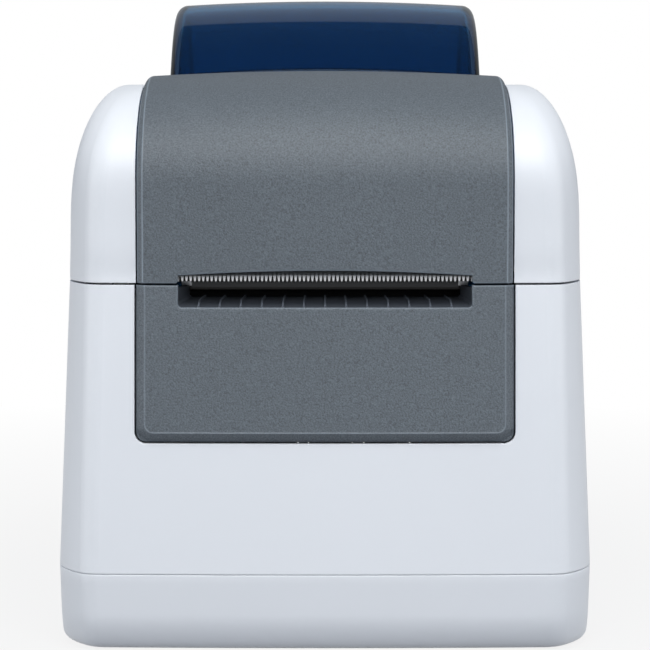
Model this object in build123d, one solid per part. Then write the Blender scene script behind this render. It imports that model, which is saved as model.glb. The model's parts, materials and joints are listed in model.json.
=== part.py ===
"""Desktop direct-thermal label printer with a rear-hinged lid, in millimetres.

X runs to the right, -Y is the front, +Z is up. The origin is the middle of the
footprint, on the surface that the feet stand on.
"""
from build123d import *
import os
from math import sqrt, sin, cos, tan, pi, radians

# Body of the printer, seen from the front and from above
body_front = -112.0            # foremost point, at the top of the tray
body_half_width = 82.1         # half width at the top of the tray
body_rear = 106.5              # rear wall at the top of the tray
side_draft = 0.0352            # the sides lean in as they rise
front_lean = 0.0894            # the front leans back as it rises
rear_draft = 0.017
front_sag = 1.5                # bow of the front face between its soft edges
edge_setback = 10.4            # soft front edge, in from the side
edge_setback_loss = 0.0215     # and how that shrinks with height
corner_depth = 25.0            # the side starts to curve in this far behind the front
crease_radius = 8.0
rear_corner_radius = 14.0
side_taper = 2.0               # the body is this much narrower on each side at the rear
wall = 2.3

# Heights, each built on the one below it
foot_drop = 1.2                # the feet stand this far below the tray
tray_top = 24.2
tray_reveal = 0.3
case_height = 87.2
case_top = tray_top + case_height
lid_gap = 0.6
lid_bottom = case_top + lid_gap
lid_height = 59.7
lid_top = lid_bottom + lid_height

# Bottom tray
tray_lower_tuck = 1.3          # half width lost between the top and the bottom of the tray
tray_edge_radius = 5.5
tray_chin_radius = 13.0        # the front lower edge curves under
tray_floor = 2.5
foot_radius = 7.0
foot_inset_x = 20.0
foot_inset_y = 24.0
foot_recess = 1.0
foot_clearance = 0.1
vent_count = 9
vent_pitch = 11.0
vent_length = 60.0
vent_width = 3.0
screw_head_radius = 3.2
screw_shank_radius = 1.5
screw_head_height = 2.0
screw_bite = 8.0               # how far a case screw enters the housing
screw_sides = 12
boss_radius = 4.0
pillar_height = 12.0

# Lid, a shell whose brow, shoulders and tail are quarter ellipses
lid_setback = 8.0              # the lid's front, behind the foot of the front face
lid_rear_setback = 1.5
lid_front = body_front + lid_setback
lid_rear = body_rear - lid_rear_setback
brow_height = 29.5
brow_start = lid_top - brow_height
brow_depth = 50.0
shoulder_height = 39.5
shoulder_start = lid_top - shoulder_height
shoulder_width = 14.0
tail_depth = 38.0
lid_side_draft = 0.02
lid_steps = 4                  # level sections in the lid's upright part
brow_steps = 7                 # and in its curved part

# Grey centre strip: front panel below the seam, top cover above it
strip_half_width = 57.1
strip_gap = 0.4
strip_rim = 3.0                # flat rim round the raised field
field_rise = 1.5               # the raised field stands this proud at the front
crown_rise = 3.3               # and this proud on top, at its sides
crown_bow = 1.0                # with this much more on the middle line
field_bow = 0.9                # the field's front bows out by this much on the middle line
panel_height = 47.2            # from the seam down to the panel's lower edge
panel_bottom = case_top - panel_height
panel_corner_radius = 3.0
crown_depth = 35.6             # level part of the crown, from the brow back to the window
cover_end = lid_front + brow_depth + crown_depth

# Label exit
label_width = 80.0
exit_half_width = label_width / 2 + 3.9
exit_end_taper = 2.9           # the exit narrows by this much on each side towards its rear
exit_rear_half_width = exit_half_width - exit_end_taper
sill_drop = 6.9                # the exit's lower edge, below the seam
exit_sill = case_top - sill_drop
exit_depth = 13.4
chute_slope = 9.0
chute_floor = 2.0
chute_ribs = 13
chute_rib_pitch = 6.35
chute_rib_width = 0.9
chute_rib_height = 0.6
chute_cheek = 1.8
exit_head_end = lid_bottom + 2.4    # upper edge of the exit at its ends
exit_head_mid = lid_bottom + 3.9    # and in the middle
exit_corner_radius = 0.9

# Tear bar
tooth_pitch = 1.27
tooth_depth = 1.9
tooth_margin = 0.7             # bare steel at each end of the row
tooth_count = int(2 * (exit_half_width - tooth_margin) / tooth_pitch)
bar_thickness = 0.6
bar_tilt = 68.0                # the teeth point down and a little forward
bar_root_y = lid_front + 4.4
bar_root_z = lid_bottom + 1.9
bar_leg = 7.0
holder_step = 0.3              # the holder's face stands this far behind the roots
holder_lip = 1.5               # and its lip hangs this far below the seam

# Roll, well and window
roll_radius = 63.5
well_clearance = 3.5
well_radius = roll_radius + well_clearance
well_wall = 2.0
well_side = 2.0
drive_room = 26.1              # from the well's inner wall out to the widest point of the body
well_half_width = body_half_width - drive_room
roll_y = body_rear - wall - well_wall - well_radius - 0.5
roll_rise = 19.4               # the roll's axis above the seam
roll_z = case_top + roll_rise
window_radius = well_radius + 3.0
window_wall = 2.2
window_half_width = 51.5
window_bow = 2.2
window_gap = 0.6
window_rear_z = lid_bottom + 30.2
window_edge = 3.6              # rounding of the dome's ends
window_skirt_z = lid_top - 4.5
window_skirt_rear = 60.0

# Lid hinge
hinge_y = body_rear + 2.5
hinge_z = case_top + 0.8
knuckle_radius = 3.0
hinge_pin_radius = 1.5
hinge_clearance = 0.05
knuckle_inner = 40.0           # the knuckles fill this stretch of X, on each side
knuckle_outer = 60.0
knuckle_side = 4.0             # width of each outer knuckle
knuckle_gap = 0.3

# Platen and its drive
platen_y = body_front + 30.0
platen_z = case_top - 10.7
platen_radius = 8.0
platen_half_length = label_width / 2 + 2.0
shaft_radius = 3.0
shaft_flat_radius = 2.5
bearing_radius = 5.0
bearing_clearance = 0.05
plate_inner_x = well_half_width + well_side     # inner face of the steel side plates
plate_thickness = 1.5
plate_outer_x = plate_inner_x + plate_thickness
gear_module = 0.8
platen_teeth = 26
idler_small_teeth = 14
idler_large_teeth = 40
pinion_teeth = 12
gear_width = 4.0
gear_backlash = 0.22
idler_angle = -75.0            # direction from the platen to the idler, seen from the left
motor_angle = -60.0
idler_pin_radius = 2.0
motor_size = 35.0
motor_length = 32.0
motor_corner_radius = 3.0
motor_spigot_radius = 6.9
motor_shaft_radius = 2.5

# Deck and roll guides
deck_top = case_top - 9.2
deck_front = platen_y + 9.5
bay_rim_top = case_top - 2.7
bay_rim_thickness = 2.0
sensor_y = deck_front + 20.5
rail_radius = 1.5
rail_z = deck_top - 7.0
guide_rest_x = label_width / 2 + 1.0    # inner face of each guide with the widest roll in place
guide_thickness = 4.0
guide_travel = 28.0
guide_half_width = 15.0
hub_radius = 12.2
hub_length = 7.0
hub_pin_radius = 4.0
hub_gap = 0.4
rack_module = 1.0
rack_pinion_teeth = 12
rack_height = 4.0
rack_top = roll_z - well_radius - 3.0
rack_length = 2 * guide_travel
rack_back = 3.0

# Print head
head_half_width = label_width / 2 + 4.0
head_front = platen_y - 6.0
head_rear = platen_y + 12.0
head_gap = 0.3                 # stands for the label between head and platen
ceramic_thickness = 1.2
sink_thickness = 6.0
head_pivot_y = head_rear + 3.5
head_pivot_z = lid_bottom + 3.2
head_pivot_radius = 2.0
bracket_thickness = 1.5
spring_x = 27.0
spring_radius = 3.0
spring_wire = 0.6
spring_turns = 3

# Lid frame
frame_bottom = lid_bottom + 1.2
frame_plate = 2.0
frame_rear = cover_end - 5.6
pocket_half_width = head_half_width + 5.5
pocket_top = lid_bottom + 16.2
pocket_front = lid_front + 5.0
pocket_rear = head_rear + 12.0
pocket_wall = 1.8

# Circuit board and sockets
board_bottom = tray_top + 2.5
board_thickness = 1.6
board_top = board_bottom + board_thickness
board_half_width = body_half_width - 35.1
board_front = body_rear - 126.5
board_rear = body_rear - 6.5
socket_clearance = 0.4
socket_recess = 0.6            # the sockets' faces stand this far inside the rear wall's foot

# Controls
button_x = 38.0
button_y = cover_end - 15.6
button_radius = 5.5
button_gap = 0.3
button_height = 5.7            # from its flange to its face
button_sink = 0.3              # its face lies this far below the crown
button_flange = 1.4
lamp_x = 26.0
lamp_radius = 1.5
control_reach = 8.2            # the small board lies this far below the crown
rocker_x = -52.0
rocker_z = tray_top + 44.0
rocker_width = 9.0
rocker_height = 15.0
bezel_width = 13.0
bezel_height = 19.0
bezel_depth = 22.0
latch_y = body_front + 62.0
latch_length = 20.0
latch_height = 9.0
latch_z = case_top - 12.2
latch_travel = 5.0
latch_gap = 0.4
hook_offset = 4.75              # from the middle of each pod in towards its inner wall
hook_x = (strip_half_width + wall + body_half_width) / 2 - hook_offset
hook_width = 3.0
hook_depth = 6.0
hook_nose = 2.5
hook_y = latch_y + 6.0
hook_seat = 0.3                # the nose stops this far short of its catch
hook_top = frame_bottom + 8.0


def block(x0, x1, y0, y1, z0, z1):
    """Upright block between two opposite corners."""
    middle = Pos((x0 + x1) / 2, (y0 + y1) / 2, (z0 + z1) / 2)
    return middle * Box(x1 - x0, y1 - y0, z1 - z0)


def band(half, y0, y1, z0, z1):
    """Block centred on the middle plane."""
    return block(-half, half, y0, y1, z0, z1)


def rod(radius, x0, x1, y, z):
    """Round bar along X."""
    return Pos((x0 + x1) / 2, y, z) * Rot(0, 90, 0) * Cylinder(radius, x1 - x0)


def post(radius, x, y, z0, z1):
    """Round bar along Z."""
    return Pos(x, y, (z0 + z1) / 2) * Cylinder(radius, z1 - z0)


def bar_y(radius, x, z, y0, y1):
    """Round bar along Y."""
    return Pos(x, (y0 + y1) / 2, z) * Rot(90, 0, 0) * Cylinder(radius, y1 - y0)


def across(face, x0, x1):
    """Carry a side-view face, drawn as (Y, Z), along X."""
    return extrude(Plane.YZ.offset(x0) * face, x1 - x0)


def both(shape):
    """A right-hand piece and its mirror image."""
    return [shape, mirror(shape, about=Plane.YZ)]


def fuse(first, *others):
    """Join solids one after the other."""
    for other in others:
        first = first + other
    return first


def cut(first, *others):
    """Take solids out of the first one."""
    for other in others:
        first = first - other
    return first


def outline(z, half, crease, front, rear, inset=0.0):
    """Plan of the body at one height: bowed front, round front corners, tapering sides."""
    corner_share = 0.47        # how far the soft edge moves in when both faces move in
    a = half - inset
    c = crease - corner_share * inset
    f = front + inset
    r = rear - inset
    b = a - side_taper
    start = front + corner_depth
    bow = ThreePointArc((-c, f + front_sag), (0, f), (c, f + front_sag))
    right = TangentArc((a, start), (c, f + front_sag), tangent=(0, -1))
    left = TangentArc((-a, start), (-c, f + front_sag), tangent=(0, -1))
    sides = [Line((a, start), (b, r)), Line((b, r), (-b, r)), Line((-b, r), (-a, start))]
    face = make_face([bow, right, *sides, left])
    creases = [v for v in face.vertices() if abs(abs(v.X) - c) < 0.01]
    face = fillet(creases, crease_radius - inset)
    tails = [v for v in face.vertices() if abs(v.Y - r) < 0.01]
    face = fillet(tails, rear_corner_radius - inset)
    return Pos(0, 0, z) * face


def case_section(z, inset=0.0, tuck=0.0):
    """Plan of the housing at height z."""
    rise = z - tray_top
    half = body_half_width - side_draft * rise - tuck
    crease = half - edge_setback + edge_setback_loss * rise
    front = body_front + front_lean * max(rise, 0.0) + tuck
    rear = body_rear - rear_draft * max(rise, 0.0) - tuck
    return outline(z, half, crease, front, rear, inset)


def case_form(z0, z1, inset=0.0):
    """Solid of the housing between two heights, with every face moved in by inset."""
    return loft([case_section(z0, inset), case_section(z1, inset)], ruled=True)


def quarter(rise, depth):
    """Set-back of a quarter ellipse of this depth at a share rise of its height."""
    return depth * (1 - sqrt(max(0.0, 1 - rise * rise)))


def lid_section(z, inset=0.0):
    """Plan of the lid at height z."""
    top = lid_top - inset
    base_half = body_half_width - side_draft * (lid_bottom - tray_top)
    half = base_half - lid_side_draft * (z - lid_bottom)
    front = lid_front
    rear = lid_rear
    if z > shoulder_start:
        share = (z - shoulder_start) / (top - shoulder_start)
        half -= quarter(share, shoulder_width - inset)
        rear -= quarter(share, tail_depth - inset)
    if z > brow_start:
        front += quarter((z - brow_start) / (top - brow_start), brow_depth - inset)
    setback = edge_setback - edge_setback_loss * case_height
    return outline(z, half, half - setback, front, rear, inset)


def lid_form(inset=0.0, bottom=None):
    """Solid of the lid, lofted through level sections that crowd towards the top."""
    low = lid_bottom if bottom is None else bottom
    top = lid_top - inset
    straight = [low + (brow_start - low) * k / lid_steps for k in range(lid_steps)]
    angles = [90.0 * k / brow_steps for k in range(brow_steps + 1)]
    curved = [brow_start + (top - brow_start) * sin(radians(t)) for t in angles]
    return loft([lid_section(z, inset) for z in straight + curved])


def field_face(rise, top_rise, inset=0.0):
    """Side view of the raised field's solid: front line, brow and crown down to the split."""
    front = lid_front - rise + inset
    top = lid_top + top_rise - inset
    low = lid_bottom
    depth = brow_depth + rise - inset
    brow = EllipticalCenterArc((front + depth, brow_start), depth, top - brow_start,
                               start_angle=90, arc_size=90)
    edges = [
        Line((front, low), (front, brow_start)),
        brow,
        Line((front + depth, top), (cover_end, top)),
        Line((cover_end, top), (cover_end, low)),
        Line((cover_end, low), (front, low)),
    ]
    return make_face(edges)


def field_form(half, inset=0.0):
    """Raised field of the cover: bowed across by a smooth loft through three side views."""
    side = field_face(field_rise, crown_rise, inset)
    middle = field_face(field_rise + field_bow, crown_rise + crown_bow, inset)
    stations = [(-half, side), (0, middle), (half, side)]
    return loft([Plane.YZ.offset(x) * face for x, face in stations])


def gear(teeth, module, width, turn=0.0, bore=0.0):
    """Spur gear about Z with straight-flanked teeth; turn is in degrees."""
    pitch_radius = module * teeth / 2
    tip = pitch_radius + 0.85 * module
    root = pitch_radius - 1.2 * module
    tooth = 2 * pi / teeth
    pitch_half = tooth / 4 - gear_backlash / 2 / pitch_radius
    steps = [
        (root, -pitch_half - 0.42 * module / pitch_radius),
        (tip, -pitch_half + 0.36 * module / pitch_radius),
        (tip, pitch_half - 0.36 * module / pitch_radius),
        (root, pitch_half + 0.42 * module / pitch_radius),
    ]
    points = []
    for k in range(teeth):
        for radius, angle in steps:
            heading = radians(turn) + k * tooth + angle
            points.append((radius * cos(heading), radius * sin(heading)))
    disc = make_face(Polyline(*points, close=True))
    if bore:
        disc = disc - Circle(bore)
    return extrude(disc, width)


def side_gear(teeth, width, turn, bore, x, y, z):
    """Gear about the X axis whose near face is at x; turn 0 points a tooth at +Y."""
    seat = Plane(origin=(x, y, z), x_dir=(0, 1, 0), z_dir=(1, 0, 0))
    return seat.location * gear(teeth, gear_module, width, turn, bore)


parts = {}

# Drive train centres, each as (Y, Z)
idler_reach = gear_module * (platen_teeth + idler_small_teeth) / 2
idler_y = platen_y + idler_reach * cos(radians(idler_angle))
idler_z = platen_z + idler_reach * sin(radians(idler_angle))
motor_reach = gear_module * (idler_large_teeth + pinion_teeth) / 2
motor_y = idler_y + motor_reach * cos(radians(motor_angle))
motor_z = idler_z + motor_reach * sin(radians(motor_angle))
foot_x = body_half_width - foot_inset_x
foot_front = body_front + foot_inset_y
foot_rear = body_rear - foot_inset_y
foot_places = [(x, y) for x in (-foot_x, foot_x) for y in (foot_front, foot_rear)]


# Bottom tray: floor, low walls and the bosses that take the case screws
def bottom_tray():
    low = case_section(foot_drop, tuck=tray_lower_tuck)
    high = case_section(tray_top)
    outer = loft([low, high], ruled=True)
    chin_face = make_face([
        Line((body_front - 1, tray_top + 1), (body_front - 1, foot_drop + tray_chin_radius)),
        Line((body_front - 1, foot_drop + tray_chin_radius), (body_front, foot_drop + tray_chin_radius)),
        RadiusArc((body_front, foot_drop + tray_chin_radius),
                  (body_front + tray_chin_radius, foot_drop), -tray_chin_radius),
        Line((body_front + tray_chin_radius, foot_drop), (body_rear + 1, foot_drop)),
        Line((body_rear + 1, foot_drop), (body_rear + 1, tray_top + 1)),
        Line((body_rear + 1, tray_top + 1), (body_front - 1, tray_top + 1)),
    ])
    outer = fillet(outer.faces().sort_by(Axis.Z)[0].edges(), tray_edge_radius)
    outer = outer & across(chin_face, -body_half_width - 1, body_half_width + 1)
    floor_z = foot_drop + tray_floor
    hollow = loft([
        case_section(floor_z, inset=wall + 3.0),
        case_section(floor_z + 8.0, inset=wall),
        case_section(tray_top + 0.01, inset=wall),
    ], ruled=True)
    tray = outer - hollow
    for x, y in foot_places:
        inner_x, inner_y = case_screw_place(x, y)
        tray = tray - post(foot_radius + foot_clearance, x, y, foot_drop - 1, foot_drop + foot_recess)
        tray = tray + post(boss_radius, inner_x, inner_y, floor_z - 1, tray_top - 0.3)
        tray = tray - post(screw_shank_radius + 0.2, inner_x, inner_y, 0, tray_top + 1)
        tray = tray - post(screw_head_radius + 0.3, inner_x, inner_y, 0, floor_z)
    for x, y in board_posts():
        tray = tray + post(boss_radius - 0.5, x, y, floor_z - 1, board_bottom)
    for k in range(vent_count):
        y = (k - (vent_count - 1) / 2) * vent_pitch
        tray = tray - Pos(0, y, foot_drop) * Box(vent_length, vent_width, 3 * tray_floor)
    return tray


def case_screw_place(x, y):
    """Centre of the case screw beside a foot: in from it along X and Y."""
    step = foot_radius + 2.0
    return x - (step if x > 0 else -step), y + (step if y < 0 else -step)


def board_posts():
    """Centres of the four posts that carry the circuit board."""
    return [(x, y) for x in (-board_half_width + 6, board_half_width - 6)
            for y in (board_front + 6, board_rear - 22)]


parts["bottom_tray"] = bottom_tray()
parts["rubber_feet"] = [post(foot_radius, x, y, 0, foot_drop + foot_recess) for x, y in foot_places]


def screw(head_radius, shank_radius, x, y, tip, seat, crown):
    """Upright screw: a shank from its tip to the seat and a head from the seat to its crown."""
    shank = extrude(Pos(x, y, min(tip, seat)) * RegularPolygon(shank_radius, screw_sides), abs(seat - tip))
    head = extrude(Pos(x, y, min(seat, crown)) * RegularPolygon(head_radius, screw_sides), abs(crown - seat))
    return shank + head


def case_screw(x, y):
    """Pan-head screw from below, through the tray's boss into the housing's pillar."""
    seat = foot_drop + tray_floor
    return screw(screw_head_radius, screw_shank_radius, x, y, tray_top + screw_bite, seat,
                 seat - screw_head_height)


parts["case_screws"] = [case_screw(*case_screw_place(x, y)) for x, y in foot_places]


# Housing: one drafted tube of moulded plastic, open for the front panel, sockets and latches
socket_list = {
    "power_inlet": (38.0, 11.0, 11.0, 14.0),
    "usb_socket": (21.0, 12.0, 11.0, 16.0),
    "network_socket": (2.0, 16.0, 13.5, 21.0),
    "serial_socket": (-26.0, 31.0, 12.5, 18.0),
}


def rounded_window(half, bottom, top, radius):
    """Prism of a panel seen from the front: square above and round at its lower corners."""
    face = Plane.XZ * (Pos(0, (bottom + top) / 2) * Rectangle(2 * half, top - bottom))
    corners = face.vertices().sort_by(Axis.Z)[:2]
    return Pos(0, body_front, 0) * extrude(fillet(corners, radius), 60, both=True)


def housing():
    low = tray_top + tray_reveal
    shell = case_form(low, case_top) - case_form(low - 0.01, case_top + 0.01, wall)
    window = rounded_window(strip_half_width + strip_gap, panel_bottom - strip_gap, case_top + 1,
                            panel_corner_radius + strip_gap)
    shell = shell - window
    for x, width, height, depth in socket_list.values():
        hole = block(x - width / 2 - socket_clearance, x + width / 2 + socket_clearance,
                     body_rear - 15, body_rear + 5,
                     board_top - socket_clearance, board_top + height + socket_clearance)
        shell = shell - hole
    bezel_hole = Pos(rocker_x, body_rear, rocker_z) * Box(bezel_width, 20, bezel_height)
    shell = shell - bezel_hole
    tab_hole = block(hook_x, body_half_width + 5, latch_y - latch_travel - latch_gap,
                     latch_y + latch_length + latch_gap,
                     latch_z - latch_gap, latch_z + latch_height + latch_gap)
    shell = cut(shell, *both(tab_hole))
    for y in (foot_front, foot_rear):
        x, y = case_screw_place(foot_x, y)
        pillar = post(boss_radius, x, y, tray_top, tray_top + pillar_height)
        web = block(x, body_half_width + 5, y - 1, y + 1, tray_top + 0.5, tray_top + pillar_height)
        pillar = (pillar + web) & case_form(low, case_top, wall / 2)
        shell = fuse(shell, *both(pillar))
        hole = post(screw_shank_radius, x, y, tray_top - 1, tray_top + screw_bite)
        shell = cut(shell, *both(hole))
    return shell + rear_knuckles()


def knuckle(x0, x1, wall_y, z0, z1):
    """Barrel about the hinge line with a web that reaches the wall at wall_y."""
    barrel = rod(knuckle_radius, x0, x1, hinge_y, hinge_z)
    web = block(x0, x1, wall_y, hinge_y, z0, z1)
    hole = rod(hinge_pin_radius + hinge_clearance, x0 - 1, x1 + 1, hinge_y, hinge_z)
    return barrel + web - hole


def rear_knuckles():
    """The housing's two knuckles on each side."""
    inner_wall = body_rear - rear_draft * case_height - wall
    drop = hinge_z - knuckle_radius
    foot_z = drop - 5.0
    near = knuckle(knuckle_inner, knuckle_inner + knuckle_side, inner_wall, drop, case_top)
    far = knuckle(knuckle_outer - knuckle_side, knuckle_outer, inner_wall, drop, case_top)
    gusset = make_face(Polyline((inner_wall + 0.5, foot_z), (hinge_y, drop), (inner_wall + 0.5, drop),
                                close=True))
    near = near + across(gusset, knuckle_inner, knuckle_inner + knuckle_side)
    far = far + across(gusset, knuckle_outer - knuckle_side, knuckle_outer)
    return fuse(*both(near), *both(far))


parts["housing"] = housing()

# Hinge pins: one steel pin on each side
parts["hinge_pins"] = both(rod(hinge_pin_radius, knuckle_inner, knuckle_outer, hinge_y, hinge_z))


# Front panel: grey moulding with a raised field and the ribbed chute of the label exit
def chute_face(lift, drop, y0, y1):
    """Side view of a sloping layer above and below the chute's floor line."""
    slope = tan(radians(chute_slope))
    z0 = exit_sill + slope * (y0 - sill_y)
    z1 = exit_sill + slope * (y1 - sill_y)
    corners = [(y0, z0 - drop), (y1, z1 - drop), (y1, z1 + lift), (y0, z0 + lift)]
    return make_face(Polyline(*corners, close=True))


# Front of the exit's sill, on the raised field, and the rear end of the chute
sill_y = body_front + front_lean * (exit_sill - tray_top) - field_rise
chute_rear = sill_y + exit_depth + 1.0


def front_panel():
    """Skin flush with the housing, a raised field on it and a flange behind the housing's wall."""
    field_radius = panel_corner_radius - 1.0
    low = panel_bottom - 6.0
    over = case_top + 0.01
    frame_prism = rounded_window(strip_half_width, panel_bottom, case_top, panel_corner_radius)
    field_prism = rounded_window(strip_half_width - strip_rim, panel_bottom + strip_rim, case_top,
                                 field_radius)
    flange_prism = rounded_window(strip_half_width + 3.0, panel_bottom - 3.0, case_top - 2.0,
                                  panel_corner_radius)
    skin = case_form(low, case_top) & frame_prism
    field = case_form(low, case_top, -field_rise) & field_prism
    flange = (case_form(low, case_top, wall + 0.1) & flange_prism) - case_form(low, over, wall + 1.6)
    panel = fuse(skin, field) - case_form(low, over, wall) + flange
    return panel_chute(panel)


def panel_chute(panel):
    """Open the exit in the panel and add its floor, cheeks and ribs."""
    mouth = extrude(Pos(0, 0, exit_sill) * make_face(Polyline(
        (-exit_half_width, body_front), (exit_half_width, body_front),
        (exit_half_width, sill_y + 4.0), (exit_rear_half_width, chute_rear + 1),
        (-exit_rear_half_width, chute_rear + 1), (-exit_half_width, sill_y + 4.0), close=True)), 30)
    floor_edges = mouth.faces().sort_by(Axis.Z)[0].edges()
    mouth = fillet(floor_edges - floor_edges.filter_by(Axis.X), exit_corner_radius)
    casing = block(-exit_half_width - chute_cheek, exit_half_width + chute_cheek,
                   sill_y + 2.5, chute_rear, exit_sill - 4.0, case_top - 0.8)
    reach = strip_half_width
    above_floor = across(chute_face(40, 0, sill_y - 10, chute_rear + 5), -reach, reach)
    casing = casing & across(chute_face(40, chute_floor, sill_y - 10, chute_rear + 5), -reach, reach)
    panel = panel + casing - (mouth & above_floor)
    ribs = []
    for k in range(chute_ribs):
        x = (k - (chute_ribs - 1) / 2) * chute_rib_pitch
        lane = chute_face(chute_rib_height, 0.2, sill_y + 1.2, chute_rear)
        ribs.append(across(lane, x - chute_rib_width / 2, x + chute_rib_width / 2))
    return fuse(panel, *ribs)


parts["front_panel"] = front_panel()


# Media bay: dark inner moulding with the roll well, the deck and the rim under the lid
def ring_sector(radius, z_cut):
    """Side view of the disc about the roll's axis, below the height z_cut."""
    disc = Pos(roll_y, roll_z) * Circle(radius)
    return disc & Pos(roll_y, z_cut - radius) * Rectangle(3 * radius, 2 * radius)


def rack_lines():
    """Middle of each rack's stem, in front of and behind the pinion, from the roll's axis."""
    reach = rack_pitch_radius + 1.25 * rack_module + rack_back / 2
    return (-reach, reach)


def media_bay():
    outer_half = well_half_width + well_side
    rim_low = bay_rim_top - bay_rim_thickness
    over = bay_rim_top + 1
    well_out = across(ring_sector(well_radius + well_wall, bay_rim_top), -outer_half, outer_half)
    well_in = across(ring_sector(well_radius, over), -well_half_width, well_half_width)
    rim_front = deck_front - 16.0
    rim_zone = band(body_half_width, rim_front, body_rear, rim_low, over)
    rim = case_form(rim_low, bay_rim_top, wall + 0.3) & rim_zone
    deck = block(-outer_half, outer_half, deck_front, roll_y, deck_top - well_side, bay_rim_top)
    deck_room = block(-well_half_width, well_half_width, deck_front - 1, roll_y, deck_top, over)
    bay = fuse(rim, deck, well_out) - deck_room - well_in
    platen_room = block(-outer_half - 0.2, outer_half + 0.2, deck_front - 30, deck_front, 0, over)
    gear_room = block(-body_half_width, -plate_outer_x, deck_front - 30, idler_y + 24, 0, over)
    bay = cut(bay, platen_room, gear_room)
    slot_half = guide_rest_x + guide_thickness + 8.0
    slot_low = rack_top - 6.0
    slot_high = roll_z - well_radius + 6.0
    slots = [block(-slot_half, slot_half, roll_y + y - 2.0, roll_y + y + 2.0, slot_low, slot_high)
             for y in rack_lines()]
    sensor_slot = block(-sensor_slot_half, sensor_slot_half, sensor_y - 4.0, sensor_y + 4.0,
                        deck_top - 6, deck_top + 1)
    latch_room = block(hook_x - 2.0, body_half_width + 5, latch_y - latch_travel - 1,
                       latch_y + latch_length + 1, rim_low - 1, over)
    plate_slot = block(plate_inner_x, plate_outer_x + 0.1, plate_front - 0.2, plate_rear + 0.2, 0, over)
    hanger = block(well_half_width - 2, well_half_width, sensor_y - 4, sensor_y + 4, rail_z - 3, deck_top - 1)
    bay = cut(bay, *slots, sensor_slot, *both(latch_room), *both(plate_slot))
    bay = fuse(bay, *both(hanger))
    return bay - rod(rail_radius, -well_half_width - 3, well_half_width + 3, sensor_y, rail_z)


sensor_slot_half = label_width / 2 + 2.0
plate_front = platen_y - 8.0
plate_rear = platen_y + 42.0
rack_pitch_radius = rack_module * rack_pinion_teeth / 2
parts["media_bay"] = media_bay()


# Steel side plates: they carry the platen's bearings, and the left one the motor
def side_plate(side):
    """Plate from the rim down past the motor; only the left one is bored for the motor."""
    top = bay_rim_top - 1.0
    reach = motor_size / 2
    corners = [(plate_front, top), (plate_rear, top), (plate_rear, deck_top - 12),
               (motor_y + reach, motor_z + reach), (motor_y + reach, motor_z - reach),
               (motor_y - reach, motor_z - reach), (plate_front, motor_z + 8)]
    face = make_face(Polyline(*corners, close=True))
    face = face - Pos(platen_y, platen_z) * Circle(bearing_radius)
    face = face - Pos(idler_y, idler_z) * Circle(idler_pin_radius)
    if side < 0:
        face = face - Pos(motor_y, motor_z) * Circle(motor_spigot_radius + 0.1)
        x0 = -plate_outer_x
    else:
        x0 = plate_inner_x
    return across(face, x0, x0 + plate_thickness)


parts["drive_side_plate"] = side_plate(-1)
parts["plain_side_plate"] = side_plate(1)


# Platen: rubber sleeve on a steel shaft, in two flanged bushes
def bushing():
    inner = plate_inner_x - 1.0
    sleeve = rod(bearing_radius, inner, plate_outer_x + 1.0, platen_y, platen_z)
    flange = rod(bearing_radius + 1.2, inner - 1.0, inner + 1.0, platen_y, platen_z)
    hole = rod(shaft_radius + bearing_clearance, inner - 5, plate_outer_x + 5, platen_y, platen_z)
    return sleeve + flange - hole


gear_x = -plate_outer_x - 1.6 - gear_width
platen_shaft_left = gear_x - 0.5
parts["platen_bushings"] = both(bushing())
parts["platen_roller"] = (
    rod(platen_radius, -platen_half_length, platen_half_length, platen_y, platen_z)
    - rod(shaft_radius, -platen_half_length - 1, platen_half_length + 1, platen_y, platen_z)
)
platen_shaft = rod(shaft_radius, -plate_outer_x - 1.3, plate_outer_x + 3.0, platen_y, platen_z)
parts["platen_shaft"] = platen_shaft + rod(shaft_flat_radius, platen_shaft_left, 0, platen_y, platen_z)
parts["platen_gear"] = side_gear(platen_teeth, gear_width, idler_angle, shaft_flat_radius,
                                 gear_x, platen_y, platen_z)

# Idler: a large and a small gear moulded as one, on a pin in the drive-side plate
idler_bore = idler_pin_radius + bearing_clearance
large_x = gear_x - gear_width - 1.0
half_tooth_small = 180.0 / idler_small_teeth
half_tooth_pinion = 180.0 / pinion_teeth
small = side_gear(idler_small_teeth, gear_width, idler_angle + 180.0 + half_tooth_small,
                  idler_bore, gear_x, idler_y, idler_z)
large = side_gear(idler_large_teeth, gear_width, motor_angle, idler_bore, large_x, idler_y, idler_z)
web = rod(idler_bore + 2.0, large_x, gear_x + 1, idler_y, idler_z)
web = web - rod(idler_bore, large_x - 1, gear_x + 2, idler_y, idler_z)
parts["idler_gear"] = fuse(small, large, web)
idler_pin = rod(idler_pin_radius, large_x - 0.5, -plate_inner_x, idler_y, idler_z)
parts["idler_pin"] = idler_pin + rod(idler_pin_radius + 1.2, large_x - 1.5, large_x - 0.5, idler_y, idler_z)

# Stepping motor on the drive-side plate, and its pinion
motor_x = -plate_inner_x
motor_block = block(motor_x, motor_x + motor_length, motor_y - motor_size / 2, motor_y + motor_size / 2,
                    motor_z - motor_size / 2, motor_z + motor_size / 2)
motor_block = fillet(motor_block.edges().filter_by(Axis.X), motor_corner_radius)
motor_spigot = rod(motor_spigot_radius, motor_x - plate_thickness, motor_x + 0.5, motor_y, motor_z)
motor_bore = rod(motor_shaft_radius + 0.1, motor_x - 5.0, motor_x + 12.0, motor_y, motor_z)
parts["stepping_motor"] = motor_block + motor_spigot - motor_bore
pinion = side_gear(pinion_teeth, gear_width, motor_angle + 180.0 + half_tooth_pinion, 0,
                   large_x, motor_y, motor_z)
parts["motor_pinion"] = pinion + rod(motor_shaft_radius, large_x, motor_x + 11.5, motor_y, motor_z)


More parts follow.
